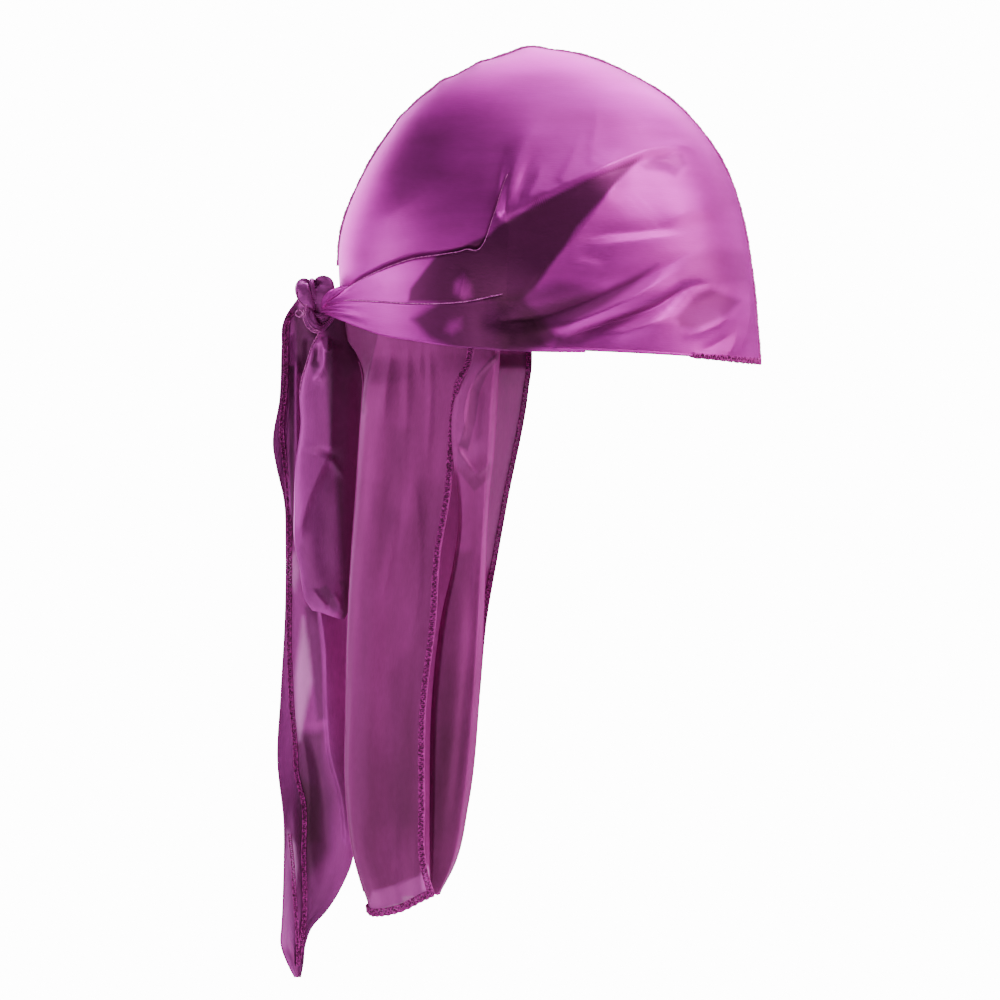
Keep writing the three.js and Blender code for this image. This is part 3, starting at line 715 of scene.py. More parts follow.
# %% Painted shade on the crown and the straps
CROWN_SHADES = [
    # corners in x and z, strength, softness of the edge in mm
    # painted shade: the dark cloth under the crease, and the two bands of the strap
    ([(-27.5, 56), (-24.5, 59.5), (-3.8, 71), (17.9, 81.6), (34.8, 89.2), (43, 92), (32.2, 80.3),
     (21.6, 68.7), (12.7, 58.9), (7.4, 50.1), (2, 43), (-6.8, 30.6), (-14, 24.4), (-66, 24.6),
     (-64.9, 30.6), (-60.6, 36.2), (-52.2, 46.7), (-40.6, 50.3)], 0.85, 2.2),
    ([(-64.4, 16.5), (-58.3, 20.2), (-51.2, 24.5), (-12.2, 25.9), (5.2, 7), (-12.2, 0), (-44.2, 2.2),
     (-55.9, 7.4)], 0.82, 5),
    ([(-24.4, 25.9), (5.2, 33.8), (24, 30.6), (12.2, 21.2), (-1.9, 14.1), (-4.2, 4.7), (-23, 0)],
     0.62, 8),
    # painted shade over the back panel
    ([(-76, 100), (-62, 114), (-40, 122), (-16, 112), (-10, 86), (-22, 68), (-45, 61), (-70, 54),
     (-81, 66), (-83, 84)], 0.22, 18),
    ([(-79, 88), (-62, 110), (-48, 104), (-50, 84), (-70, 72)], 0.32, 16),
    # painted shade at the brow: its hollow, the streaks round it and the cloth above
    ([(58.8, 16.9), (69, 28.7), (75.7, 31), (89.8, 25.4), (83.7, 18.3), (69, 11.3), (61, 12.7)],
     0.62, 4),
    ([(58.8, 36.7), (62, 43.7), (73.8, 49.4), (91.7, 48), (94, 34.3), (78, 32), (69, 33.4),
     (59.7, 28.7)], 0.26, 5),
    ([(75.7, -1.4), (82.7, 11.8), (90.2, 24.4), (97.8, 25.9), (98.2, 0)], 0.2, 5),
    ([(42.8, 88.4), (50.8, 93), (62, 94), (64.4, 89.3), (58.8, 83.2), (54, 85.5), (45, 86)], 0.4, 2.5),
    ([(71, 80), (86, 80), (98, 26), (80, 33), (73, 52)], 0.18, 14),
    # painted light on the strap, which takes the painted shade away again
    ([(-43.8, 33), (-40, 36.8), (-37, 32), (-36.4, 27), (-39.6, 25.4), (-43.8, 28)], -0.66, 5),
    ([(-48.6, 11.3), (-46.4, 15.4), (-41.4, 16.2), (-41.6, 12.2), (-45.4, 9.4)], -0.6, 5),
    # painted shade along two long folds from the strap to the brow
    ([(-14, 20), (5.2, 25), (25.8, 30), (50.8, 42), (38, 31), (25.8, 22.6), (8, 13), (-12, 9)], 0.66, 4),
    ([(4, 9), (18, 12.5), (32, 18), (48.4, 26), (64.4, 32), (50, 22.6), (32, 12.4), (14, 4), (2, 3)],
     0.56, 3.5),
]


def under_strap(turn, z):
    """1 where the strap covers the crown, 0 where the crown shows."""
    low, high = strap_edges(turn)
    shown = smooth(np.degrees(turn), 101.3, 104)
    return shown * (1 - smooth(z, high - 1, high + 3)) * (turn < np.radians(178))


def front_rise(turn, z):
    """How far the front of the crown, and the strap with it, stands off the back, in mm."""
    return STRAP_LIFT * smooth(np.degrees(turn), 80, 104) * (1 - smooth(z, 60, 100))


print("areas of shade on each side of the crown:", len(CROWN_SHADES))

# %% [markdown]
# ## The two crown panels
#
# A durag's cap is two panels cut to the same curve. Each one is half a disc spread over the
# form. A grid from pole to rim would crowd its points at the pole, so a square grid is bent into
# the half disc instead. The fold heights are added along the form's normal.

# %% The two crown panels
CROWN_ROWS, CROWN_COLUMNS = 190, 330


def seam_pucker(x, z):
    """How far the seam stands up behind the top of the crown, in millimetres.

    It is one bump with smaller gathers behind it, each a bell curve round its own x.
    """
    height = 1.9 * np.exp(-(((x + 9) / 8) ** 2))
    for centre, rise in ((-33, 0.7), (-50, 1.0), (-60, 0.5), (-69, 0.7)):
        height += rise * np.exp(-(((x - centre) / 4) ** 2))
    return height * smooth(z, 98, 108)


def disc_point(x, y, side):
    """The form's point for a place on the half disc: x from nape to brow, y from seam to edge."""
    turn = np.abs(np.arctan2(y, x))
    rim = tilt_at(turn, rim_height(turn))
    return form(turn, np.hypot(x, y) * rim, side), turn


def crown_panel(side):
    """Points of a panel with its folds."""
    across, down = np.linspace(1, -1, CROWN_COLUMNS), np.linspace(0.001, 1, CROWN_ROWS)
    u, v = np.meshgrid(across, down)
    x, y = u * np.sqrt(1 - v**2 / 2), v * np.sqrt(1 - u**2 / 2)
    point, turn = disc_point(x, y, side)
    along, out = disc_point(x + STEP, y, side)[0] - point, disc_point(x, y + STEP, side)[0] - point
    normal = turned_out(unit(np.cross(along, out)), point)
    z = point[..., 2]
    height = folds(point[..., 0], z, SIDE_FOLDS[side]) * smooth(np.abs(point[..., 1]), 4, 22)
    height += seam_pucker(point[..., 0], z) * np.exp(-((point[..., 1] / 11) ** 2))
    height += front_rise(turn, z) * (1 - smooth(np.degrees(turn), 101, 104))
    height -= STRAP_COVER * under_strap(turn, z)
    return point + normal * height[..., None]


for side, node in ((RIGHT, "crown_right"), (LEFT, "crown_left")):
    panel = crown_panel(side)
    # away is the painted shade of each point of the panel
    away = shading(panel, CROWN_SHADES)
    piece = cloth(node.replace("_", "_panel_"), panel, CROWN_SATIN, flip=side == RIGHT, shade=away)
    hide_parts(node)

# %% [markdown]
# ## The raised seam
#
# The two panels are overlocked together with the seam outside, so a low ridge of thread and
# folded cloth runs from the brow over the top to the nape, puckered where it is pulled. A tube
# along the middle line with a wavy height shows it in the outline, as a bump map could not.

# %% The raised seam
SEAM_RISE = 0.3  # of the ridge's middle above the panels
SEAM_RADIUS = 0.75


def middle_line(count):
    """Points and outward directions along the middle of the crown, brow to nape."""
    low, high = -tilt_at(np.array(np.pi), 42.0), tilt_at(np.array(0.0), rim_height(0.0))
    tilt = np.linspace(float(high), float(low), count)
    point = form(np.where(tilt < 0, np.pi, 0.0), np.abs(tilt), RIGHT)
    along = np.gradient(point, axis=0)
    out = unit(np.stack([-along[:, 2], np.zeros(count), along[:, 0]], axis=-1))
    return point, turned_out(out, point)


seam_line, seam_out = middle_line(420)
run = np.linspace(0, 1, len(seam_line))
pucker = 0.25 * np.sin(run * 260) + 0.35 * np.sin(run * 61 + 1.0)
hump = seam_pucker(seam_line[:, 0], seam_line[:, 2])
ridge = seam_line + seam_out * (SEAM_RISE + 0.35 * pucker + hump)[:, None]
seam_tube = tube(ridge, SEAM_RADIUS + 0.1 * np.sin(run * 900), flat=0.9)
seam = tubes_piece("raised_seam", [seam_tube], SEAM_THREAD)
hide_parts("middle_seam")

# %% [markdown]
# ## The brow hem
#
# The front edge is rolled and overlocked. The thread pulls the edge into small scallops, so the
# roll follows the sine of the distance along it. The crown's edge has a plain roll all round.

# %% The brow hem


def rim_line(first, last, count, below):
    """Points under the crown's edge from one turn to another; negative turns are on the right."""
    turn = np.radians(np.linspace(first, last, count))
    side = np.where(turn < 0, RIGHT, LEFT)
    point = form(np.abs(turn), tilt_at(np.abs(turn), rim_height(np.abs(turn))), LEFT)
    point[:, 1] *= side
    point[:, 2] += 1.5 * smooth(turn, 0.3, 1.0) - below
    return point


UP = (0, 0, 1)
edge_roll = tube(rim_line(-88, 88, 300, 0.1), 0.55, facing=UP)
edge_piece = tubes_piece("brow_edge", [edge_roll], CROWN_SATIN)
hem_line = rim_line(-47, 47, 420, 0.5)
hem_line[:, 2] -= 0.5 * np.abs(np.sin(np.linspace(0, 75, len(hem_line))))
hem_roll = tube(hem_line, 0.85, facing=UP)
thread_line = hem_line + unit(hem_line * [1, 1, 0]) * 0.7 + [0, 0, 1.6]
hem_thread = overlock(thread_line, (0, 0, -1), width=2.4, pitch=2.6, thread=0.36, rise=0.15)
hem = tubes_piece("rolled_brow_hem", [hem_roll, hem_thread], THREAD)
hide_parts("brow_hem")

# %% [markdown]
# ## The straps
#
# Each strap is a broad band that is folded once along its length, so a second, narrower layer
# lies on its lower half. Both gather into pleats where they turn into the knot. They are laid
# on the crown's form with the crown's own folds, so the cloth runs on from one to the other.

# %% The straps
FOLD_LINE = np.array([
    # turn, height of the upper edge of the strap's second layer
    [101, 28.6],
    [105.3, 27.0],
    [110.8, 25.0],
    [119, 23.8],
    [128, 23.8],
    [136, 24.3],
    [147.6, 25.2],
    [160, 25.6],
    [168, 24.4],
    [175, 22.6],
])


KNOT_LIFT = 5.0  # how far the strap stands off the form where it gathers into the knot


def strap_points(side, low, high, turns, rows, proud):
    """A band between two edges of the strap, with its pleats and its lift towards the knot.

    turns are in degrees, and so is what proud takes. It gives how far the band stands off the
    layer under it. Towards the knot the lift gets pleats, sines of the share of the width.
    """
    turn, share = np.meshgrid(np.radians(turns), np.linspace(0, 1, rows))
    z = mix(low(turn), high(turn), share)
    flat = on_form(turn, z, side, np.zeros_like(z))
    gather = smooth(np.degrees(turn), 138, 177)
    lift = folds(flat[..., 0], flat[..., 2], SIDE_FOLDS[side]) * (1 - gather)
    lift += front_rise(turn, z) + proud(np.degrees(turn)) + KNOT_LIFT * gather**1.6
    lift += 0.9 * gather**2 * np.sin(share * 2.5 * 2 * np.pi + 1) + 3.0 * gather**2 * np.sin(np.pi * share)
    lift -= 0.6 * smooth(share, 0.97, 1) + 0.6 * (1 - smooth(share, 0, 0.03))
    return on_form(turn, z, side, lift)


def strap(side):
    """The strap's two layers as two grids of points."""
    turns = np.r_[np.linspace(80, 101, 50), np.linspace(101.3, 110, 60), np.linspace(110.5, 173, 210)]

    def low(turn):
        return strap_edges(turn)[0] + (1.5 if side == LEFT else 0)

    def high(turn):
        return strap_edges(turn)[1]

    def line(turn):
        return through(FOLD_LINE, np.degrees(turn))[0]

    def band_proud(degrees):
        return -0.35 * (1 - smooth(degrees, 98, 101.5))

    def fold_proud(degrees):
        return band_proud(degrees) + 1.1 * smooth(degrees, 101, 112)

    upper = strap_points(side, low, high, turns, 90, band_proud)
    lower = strap_points(side, low, line, np.linspace(101, 173, 230), 46, fold_proud)
    return upper, lower


for side, node in ((RIGHT, "strap_right"), (LEFT, "strap_left")):
    upper, lower = strap(side)
    for layer, points in (("_band", upper), ("_fold", lower)):
        # away is the strap's painted shade, from the crown's areas
        away = shading(points, CROWN_SHADES)
        piece = cloth(node + layer, points, STRAP_SATIN, flip=side == RIGHT, shade=away)
        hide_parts(node)
    # a fine rim on each layer's upper edge, from the crown's edge back, in the pale seam thread:
    # a rolled edge whose pale colour is a painted highlight
    proud = [0, 0.3 * side, 0]
    edges = [tube(upper[-1, 58:] + proud, 0.22, sides=6), tube(lower[-1, 4:] + proud, 0.3, sides=6)]
    trim = tubes_piece(node + "_edges", edges, SEAM_THREAD)

# %% [markdown]
# ## The knot
#
# A knot is hard to invent point by point, but it is only the strap going round itself. Each
# turn is a flattened tube along a path, with pleats that run lengthwise as gathered cloth has.

# %% The knot
LOBES = [
    # path of x, y, z; radii along it; flatness; pleats; pleat depth
    # the left lobe
    ([(-110.6, -6.5, 20.5), (-112.8, -8.6, 24), (-114.8, -8.8, 28), (-115.9, -6.5, 31.6),
     (-114.4, -1.5, 33), (-112, 3, 27)], [1.4, 3.0, 3.7, 3.6, 3.3, 2.0], 0.6, 3, 0.06),
    # the right lobe, broader and higher
    ([(-107.8, -6.4, 20.5), (-106.8, -8.2, 25), (-105.8, -7.8, 29), (-105.6, -4, 31.6),
     (-105.4, 1.5, 30.6), (-105, 5, 26)], [1.6, 3.8, 5.2, 5.5, 4.6, 2.2], 0.55, 3, 0.08),
    # the fold that stands in the groove between them
    ([(-109.2, -8.4, 24), (-110.2, -9.0, 28), (-111.2, -8.2, 32), (-111.4, -4.5, 35),
     (-110.4, -1, 34.4)], [0.7, 1.1, 1.3, 1.3, 0.9], 0.9, 2, 0.12),
    # the lower roll, and its thin rim up to the strap
    ([(-112.2, -7.5, 22.4), (-112.9, -8.8, 19), (-111.8, -9.4, 15.4), (-109.4, -9.4, 12.8),
     (-106.6, -9, 12.6), (-103.4, -8.6, 15.2), (-100.8, -8.6, 18.6)],
     [1.4, 2.6, 3.0, 2.6, 1.5, 1.0, 0.8], 0.85, 4, 0.14),
    ([(-101.8, -6.0, 21.4), (-104.6, -6.6, 18.6), (-108, -6.8, 17.4), (-111, -6.4, 18.8)],
     [1.5, 2.3, 2.4, 1.6], 0.9, 5, 0.1),
    ([(-101.5, 6.5, 20), (-105, 8.6, 15.6), (-110, 8.8, 14), (-114, 7.4, 18), (-113, 6, 23)],
     [1.6, 2.7, 3.1, 2.8, 1.8], 0.9, 5, 0.12),
    ([(-106, 6.5, 21), (-105.6, 8.4, 26), (-106, 6.4, 31)], [2, 4.2, 3.6], 0.8, 4, 0.08),
]


def lobe_grid(path, radii, flat, pleats, depth, count=80, sides=56):
    """A lobe of cloth: a tube along a path, whose radius follows a list of radii.

    The radius is multiplied by 1 + depth * cos(pleats * angle), with a finer ripple of the same
    kind, and both turn slowly along the lobe, as gathered cloth does.
    """
    line = spaced(path, count)
    run = np.linspace(0, 1, count)
    radius = through(np.c_[np.linspace(0, 1, len(radii)), radii], run)[0]
    grid = tube(line, radius, sides=sides, facing=(0.25, 1, 0.2), flat=flat)
    angle = np.linspace(0, 2 * np.pi, sides, endpoint=False)[None]
    run = run[:, None]
    ripple = depth * np.cos(pleats * angle + 5 * run) + 0.4 * depth * np.cos(2 * pleats * angle - 9 * run)
    return line[:, None] + (grid - line[:, None]) * (1 + ripple)[..., None]


def ball(centre, radii, rows=24, columns=32):
    """A closed ball's grid: an ellipsoid from pole to pole."""
    tilt = np.linspace(0.02, np.pi - 0.02, rows)
    turn = np.linspace(0, 2 * np.pi, columns, endpoint=False)
    down, around = np.meshgrid(tilt, turn, indexing="ij")
    sphere = [np.sin(down) * np.cos(around), np.sin(down) * np.sin(around), np.cos(down)]
    return np.asarray(centre) + np.stack(sphere, axis=-1) * radii


knot_grids = [lobe_grid(*row) for row in LOBES] + [ball((-108, 0.5, 22), (6.5, 6.4, 11))]
knot = tubes_piece("tied_knot", knot_grids, SHADED_KNOT_SATIN)
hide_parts("knot")

# %% [markdown]
# ## Where the strap becomes the knot
#
# The strap's upper layer rolls in as it turns into the knot, so one more lobe tapers out along
# the strap and hides the join. The overlocked edges of the strap show again round the knot's
# rims, and one loose thread curls beside them.

# %% The strap's roll into the knot, and the knot's threads
ROLL_PATH = [(-105.4, -8.2, 21.6), (-104.6, -10.5, 24.6), (-102, -15, 27.6), (-98.4, -21.5, 30),
             (-93.6, -28, 32)]
roll_grid = lobe_grid(ROLL_PATH, [1.9, 2.5, 2.5, 1.9, 0.7], 0.9, 5, 0.05)
knot_roll = tubes_piece("strap_roll", [roll_grid], STRAP_SATIN)
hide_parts("knot")

lobe_rim = spaced([(-118.6, -8.6, 30), (-118.2, -9, 27), (-116.6, -9.4, 24.4), (-114.6, -9.6, 22.4)], 60)
roll_rim = spaced([(-114.9, -9.8, 21.4), (-115.3, -10.6, 18), (-114.2, -11.2, 14.4), (-111.6, -11.2, 11.4),
                   (-108.6, -10.8, 10.4)], 90)
around = np.linspace(0, 1.9 * np.pi, 40)
curl = np.stack([-117.3 + 1.6 * np.sin(around), -9.6 + 0.2 * around, 19.6 + 1.6 * np.cos(around)], axis=-1)
INTO_LOBE = (0.8, 0, 0.6)
knot_stitches = [
    *overlocked(lobe_rim, INTO_LOBE, width=1.5, pitch=1.6, thread=0.28, rise=-0.3),
    *overlocked(roll_rim, INTO_LOBE, width=1.5, pitch=1.8, thread=0.28, rise=-0.3),
    tube(curl, 0.3, sides=6),
]
knot_thread = tubes_piece("knot_stitches", knot_stitches, SEAM_THREAD)

# %% [markdown]
# ## The flap
#
# The flap leaves the crown on a level line under the straps and hangs to a hem. Its level
# sections are smooth curves through five points, so a table gives its whole shape, and pleats
# deepen on the way down. Under the strap it lies on the crown's form instead.

# %% The flap
FLAP_SECTIONS = np.array([
    # drop, near hem x y, near fold x y, middle x, far fold x y, far hem x y, in millimetres
    [24, -39.8, 70, -83.6, 43, -80, -83, 42, -8.3, 70],
    [43, -43, 66, -86.2, 45, -75.6, -81, 43.5, -10.5, 66],
    [89, -46.9, 59.5, -89.8, 41, -74.6, -82, 40.5, -19.5, 60],
    [114, -51.2, 56.5, -92, 40, -74.8, -83, 39, -24, 57.5],
    [146, -53.3, 53, -94, 38.5, -75, -85, 37, -29.5, 54.5],
    [184, -57.8, 49.5, -95, 37.5, -75, -86, 35, -33, 50],
    [232, -58.5, 45.7, -94.8, 35, -74, -85, 33, -38.6, 46],
    [259, -58, 43.5, -91, 33.4, -72, -82, 31, -46.5, 43],
    [279, -52.5, 42, -84.5, 32, -70, -78, 30, -52.6, 40.5],
])
FLAP_HEM = np.array([
    # share of the width, height of the hem
    [0, -252.5],
    [0.05, -255.5],
    [0.12, -260.5],
    [0.2, -262.3],
    [0.3, -260],
    [0.45, -257],
    [1, -253.5],
])
FLAP_COLUMNS, FLAP_ROWS = 300, 250
FLAP_TOP = NAPE_RISE - 0.5
FLAP_RIGHT, FLAP_LEFT = 68, 85  # degrees round from the nape to the near hem and to the far hem


def flap_sections(drop, share):
    """x and y round the flap: at each drop, one smooth curve through the five points."""
    columns = np.stack(through(FLAP_SECTIONS, drop), axis=-1)
    x = columns[..., [0, 2, 4, 5, 7]]
    y = np.concatenate([-columns[..., [1, 3]], 0 * columns[..., :1], columns[..., [6, 8]]], axis=-1)
    knots = np.array([0, 0.25, 0.5, 0.75, 1.0])
    basis = np.stack(through(np.c_[knots, np.eye(5)], share), axis=-1)
    return (x * basis).sum(-1), (y * basis).sum(-1)


FLAP_FOLDS = [
    # path, lift, widths on its left and right, crispness, ends
    # the near side's folded back edge, over the cloth at the nape
    ([(-79.6, 14), (-80.6, 7), (-82.6, -0.7), (-84.6, -10.8), (-86.6, -26)],
     1.8, 5, 0.7, 1.5, (0.05, 0.8)),
    # long soft pleats on the near side, from the gathers under the strap
    ([(-73.5, 12), (-73.8, -4), (-75.5, -20), (-78.5, -42)], 2.2, 1.1, 3.2, 1.4, (0.02, 0.5)),
    ([(-60, 10), (-59.8, -4), (-59.5, -20)], 1.7, 1.0, 2.6, 1.4, (0.02, 0.3)),
    ([(-66, 10), (-65.6, -6), (-66.5, -30), (-69, -52)], 1.3, 1.1, 2.6, 1.4, (0.02, 0.5)),
    ([(-56.5, 8), (-55, -10), (-55.5, -30), (-58, -60)], 1.5, 1.3, 2.8, 1.5, (0.02, 0.5)),
    ([(-63, -55), (-60.5, -80), (-61, -110), (-65, -140)], 1.2, 1.4, 4, 1.5, (0.2, 0.7)),
    ([(-71, -70), (-74, -95), (-79, -120)], 1.0, 1.4, 4, 1.5, (0.2, 0.7)),
    ([(-70, 6), (-70.5, -20), (-74, -50), (-79, -90)], -0.9, 3.0, 3.4, 2, (0.1, 0.4)),
    ([(-66, -20), (-68, -45), (-73, -75), (-78, -110)], -0.8, 5, 5, 2, (0.3, 0.5)),
    ([(-62, -30), (-66, -80), (-72, -125)], 0.7, 5, 5, 2, (0.3, 0.6)),
    ([(-55, -40), (-57, -80), (-63, -120), (-72, -150)], -0.7, 5, 4, 2, (0.3, 0.6)),
    ([(-64, -100), (-66, -170), (-70, -235), (-72, -262)], -1.0, 6, 5, 2, (0.3, 0.95)),
    ([(-80, -120), (-82, -190), (-77, -258)], 0.9, 5, 5, 2, (0.3, 0.95)),
    ([(-72, -195), (-72, -235), (-72.4, -262)], 1.3, 2.4, 2.4, 1.6, (0.4, 0.97)),
    ([(-62, -215), (-63, -245), (-63, -262)], 1.2, 2.4, 2.4, 1.6, (0.4, 0.97)),
]


def flap_points():
    """Points of the flap, from its line on the crown down to its hem."""
    share, drop = np.meshgrid(np.linspace(0, 1, FLAP_COLUMNS), np.linspace(0, 1, FLAP_ROWS))
    down = drop * (FLAP_TOP - through(FLAP_HEM, share)[0])
    z = FLAP_TOP - down
    x, y = flap_sections(np.clip(down, 24, FLAP_LENGTH), share)
    turn = np.radians(180 - np.abs(mix(-FLAP_RIGHT, FLAP_LEFT, share)))
    inside = -0.8 - 4.5 * (1 - smooth(np.degrees(turn), 98, 125))
    hug = on_form(turn, np.maximum(z, 2), LEFT, inside)
    hug[..., 1] *= np.where(share < FLAP_RIGHT / (FLAP_RIGHT + FLAP_LEFT), RIGHT, LEFT)
    leaving = mix(1, 9, smooth(1 - np.abs(2 * share - 1), 0.5, 0.9))
    free = smooth(leaving - z, 0, 16)
    x, y = mix(hug[..., 0], x, free), mix(hug[..., 1], y, free)
    pleat = 0.3 * np.sin(share * 7 * 2 * np.pi) + 0.1 * np.sin(share * 19 * 2 * np.pi + z / 40)
    near = (share < 0.5) * folds(x, z, FLAP_FOLDS)
    height = smooth(down, 12, 40) * (pleat * mix(0.4, 1.6, drop) + 0.7 * near)
    points = np.stack([x, y, z], axis=-1)
    outward = points - np.stack([np.full_like(x, -55), 0 * y, z], axis=-1)
    return points + turned_out(normals(points), outward) * height[..., None]


flap_grid = flap_points()
print("flap's lowest point in mm:", flap_grid[..., 2].min().round(1))

# %% [markdown]
# ## Painted shade and glow on the flap
#
# The flap is one layer for most of its length. Towards its hem it gets deeper painted shade.
# Where light stands behind a single layer it looks thin, so it gets a little painted glow. At
# the top of its far edge the inside shows, with painted shade under the strap.

# %% Painted shade and glow on the flap
# painted glow on the flap
FLAP_PAINTED_GLOW = [
    # corners in x and z, strength, softness of the edge in mm
    ([(-84.4, -10), (-86, -24), (-87.4, -44.6), (-88.8, -64.8), (-92.6, -107), (-95, -147),
     (-93.8, -209), (-90, -236), (-85, -209), (-86, -147), (-84, -107), (-80, -64.8), (-79, -44.6),
     (-78, -24)], 0.07, 7),
    ([(-83, -251.5), (-71, -248), (-60, -243.5), (-50, -251.5), (-50, -262), (-86, -264)], 0.4, 2),
    ([(-60, -243), (-57.4, -240.5), (-55.8, -245), (-56.4, -251), (-59.4, -250.6)], 0.9, 2),
    ([(-33, -6), (-8, -6), (-8, -60), (-26, -100), (-33, -100)], 0.14, 5),
]
# painted shade on the flap
FLAP_SHADE = [
    ([(-99, 20), (-78, 20), (-80.4, 7.5), (-82.4, -0.7), (-84.4, -10.8), (-86.6, -28), (-96, -20)],
     0.4, 0.9),
    ([(-100, -90), (-88, -60), (-84, -120), (-82, -262), (-100, -262)], 0.18, 8),
    ([(-100, -150), (-56, -150), (-50, -262), (-100, -262)], 0.14, 30),
    ([(-100, -180), (-50, -180), (-50, -270), (-100, -270)], 0.36, 50),
    ([(-74, -35), (-64, -35), (-70, -75), (-80, -100)], 0.22, 8),
    ([(-77, -75), (-58, -75), (-58, -220), (-77, -220)], 0.16, 14),
    ([(-60, -60), (-47, -60), (-56, -160), (-66, -180)], 0.18, 10),
    ([(-84, -60), (-78, -60), (-84, -150), (-90, -150)], 0.14, 8),
    ([(-76, -150), (-66, -140), (-64, -220), (-74, -235)], 0.2, 10),
]
# painted shade on the inside of the far edge, under the strap
FAR_BAND = [([(-36, 1.5), (-8, 1.5), (-8, -5.2), (-36, -5.2)], 0.6, 1.2)]
inside_out = 1 - smooth(flap_grid[..., 1], 70, 74)
flap_unshaded = 1 - shading(flap_grid, FLAP_SHADE, near=10)
flap_shade = 1 - flap_unshaded * (1 - shading(flap_grid, FAR_BAND) * inside_out)
flap = cloth("hanging_flap", flap_grid, FLAP_SATIN, sheer=shading(flap_grid, FLAP_PAINTED_GLOW), shade=flap_shade)
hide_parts("nape_flap")

# %% [markdown]
# ## The edges of the flap
#
# The flap's hem is rolled and all three of its free edges are overlocked. Its rearmost line is a
# fold, found row by row on the grid and smoothed, and a thin tube along it keeps it crisp.

# %% The edges of the flap
near_edge, far_edge, low_edge = flap_grid[12:, 0], flap_grid[12:, -1], flap_grid[-1]
near_in, far_in = unit(flap_grid[12:, 7] - near_edge), unit(flap_grid[12:, -7] - far_edge)
low_in = unit(flap_grid[-7] - low_edge)
flap_hems = [
    tube(low_edge, 0.9 + 0.2 * np.sin(np.linspace(0, 300, len(low_edge))), sides=6),
    *overlocked(near_edge, near_in, width=2.3, pitch=1.9, thread=0.36, rise=0.5),
    *overlocked(far_edge, far_in, width=2.2, pitch=2.2, thread=0.26, rise=0.4),
    *overlocked(low_edge, low_in, width=2.6, pitch=1.9, thread=0.42, rise=0.4),
]
edge_rolls = [tube(near_edge, 0.5, sides=6), tube(far_edge, 0.4, sides=6)]
flap_edges = tubes_piece("flap_edges", edge_rolls, FLAP_SATIN)
rows = np.arange(14, FLAP_ROWS)
NEAR_COLUMNS = 110  # the flap's columns on its near side
rearmost = flap_grid[rows, flap_grid[rows, :NEAR_COLUMNS, 0].argmin(1)]
window = np.ones(17) / 17
rear_edge = np.stack([np.convolve(rearmost[:, k], window, "valid") for k in range(3)], axis=-1)
rear = tubes_piece("flap_folded_edge", [tube(rear_edge + [0, -0.2, 0], 0.34, sides=6)], FLAP_SATIN)
flap_hem = tubes_piece("flap_hems", flap_hems, THREAD)

# %% [markdown]
# ## The turned front of the flap
#
# In front of the near hem a second width of the flap shows, turned towards the viewer: a soft
# upright fold that starts under the strap, passes over the hem and then slips behind it. It
# could be one grid with the flap, but folding that grid back would squeeze its points, so it is
# a strip of its own whose edges are rolled back behind the flap.

# %% The turned front of the flap
TURNED_EDGES = np.array([
    # z, left edge x, right edge x, how far out to the right its face is
    [-254, -56, -52.0, 31.5],
    [-240, -56, -44.5, 33],
    [-210, -56, -37.5, 36],
    [-162, -55, -32.5, 39.8],
    [-120, -50, -30.4, 43],
    [-98, -45, -29.6, 47],
    [-78, -42.5, -28.8, 53],
    [-60, -43.5, -27.4, 60],
    [-43, -45.4, -25.4, 66.4],
    [-30, -45.6, -24.6, 68.2],
    [-15, -42.6, -23.8, 67.6],
    [-1, -37.2, -23.0, 68.2],
    [9, -34, -22.4, 69.5],
])
TURNED_FOLDS = [
    # path, lift, widths on its left and right, crispness, ends
    ([(-23.5, 0), (-32.9, -9.4), (-36.8, -15.5), (-39.5, -26), (-40, -37), (-43, -42)],
     2.3, 1.0, 3.4, 1.4, (0.05, 0.85)),
    ([(-43.5, -43), (-39, -50), (-34.3, -57)], 1.7, 1.1, 3, 1.5, (0.2, 0.75)),
    ([(-34.3, -57), (-29, -52), (-26, -48)], 1.5, 3, 1.1, 1.5, (0.2, 0.8)),
    ([(-33, -12), (-34, -28), (-35, -42)], -1.3, 2.5, 2.5, 2, (0.2, 0.8)),
    ([(-29, -60), (-31, -100), (-36, -160), (-41, -210), (-49, -250)], 0.6, 3, 3, 2, (0.3, 0.7)),
    ([(-41, -90), (-42, -130), (-46, -190), (-52, -240)], 1.1, 4, 4, 2, (0.3, 0.7)),
    ([(-36.5, -70), (-36, -120), (-41, -180), (-48, -235)], -0.9, 2.6, 2.6, 2, (0.3, 0.7)),
]


def turned_points(rows=230, columns=90):
    """The turned width: its face between two edges, and both edges rolled back."""
    share, z = np.meshgrid(np.linspace(0, 1, columns), np.linspace(9, -252, rows))
    left, right, face = through(TURNED_EDGES, z)
    x = mix(left, right, share)
    tuck = mix(1.6, 6, smooth(-z, 50, 80))
    y = -face + 7 * smooth(share, 0.8, 1) ** 2 + tuck * (1 - smooth(share, 0, 0.16)) ** 2
    y -= 1.15 * folds(x, z, TURNED_FOLDS) * smooth(-z, -6, 4)
    return np.stack([x, y, z], axis=-1)


turned_grid = turned_points()
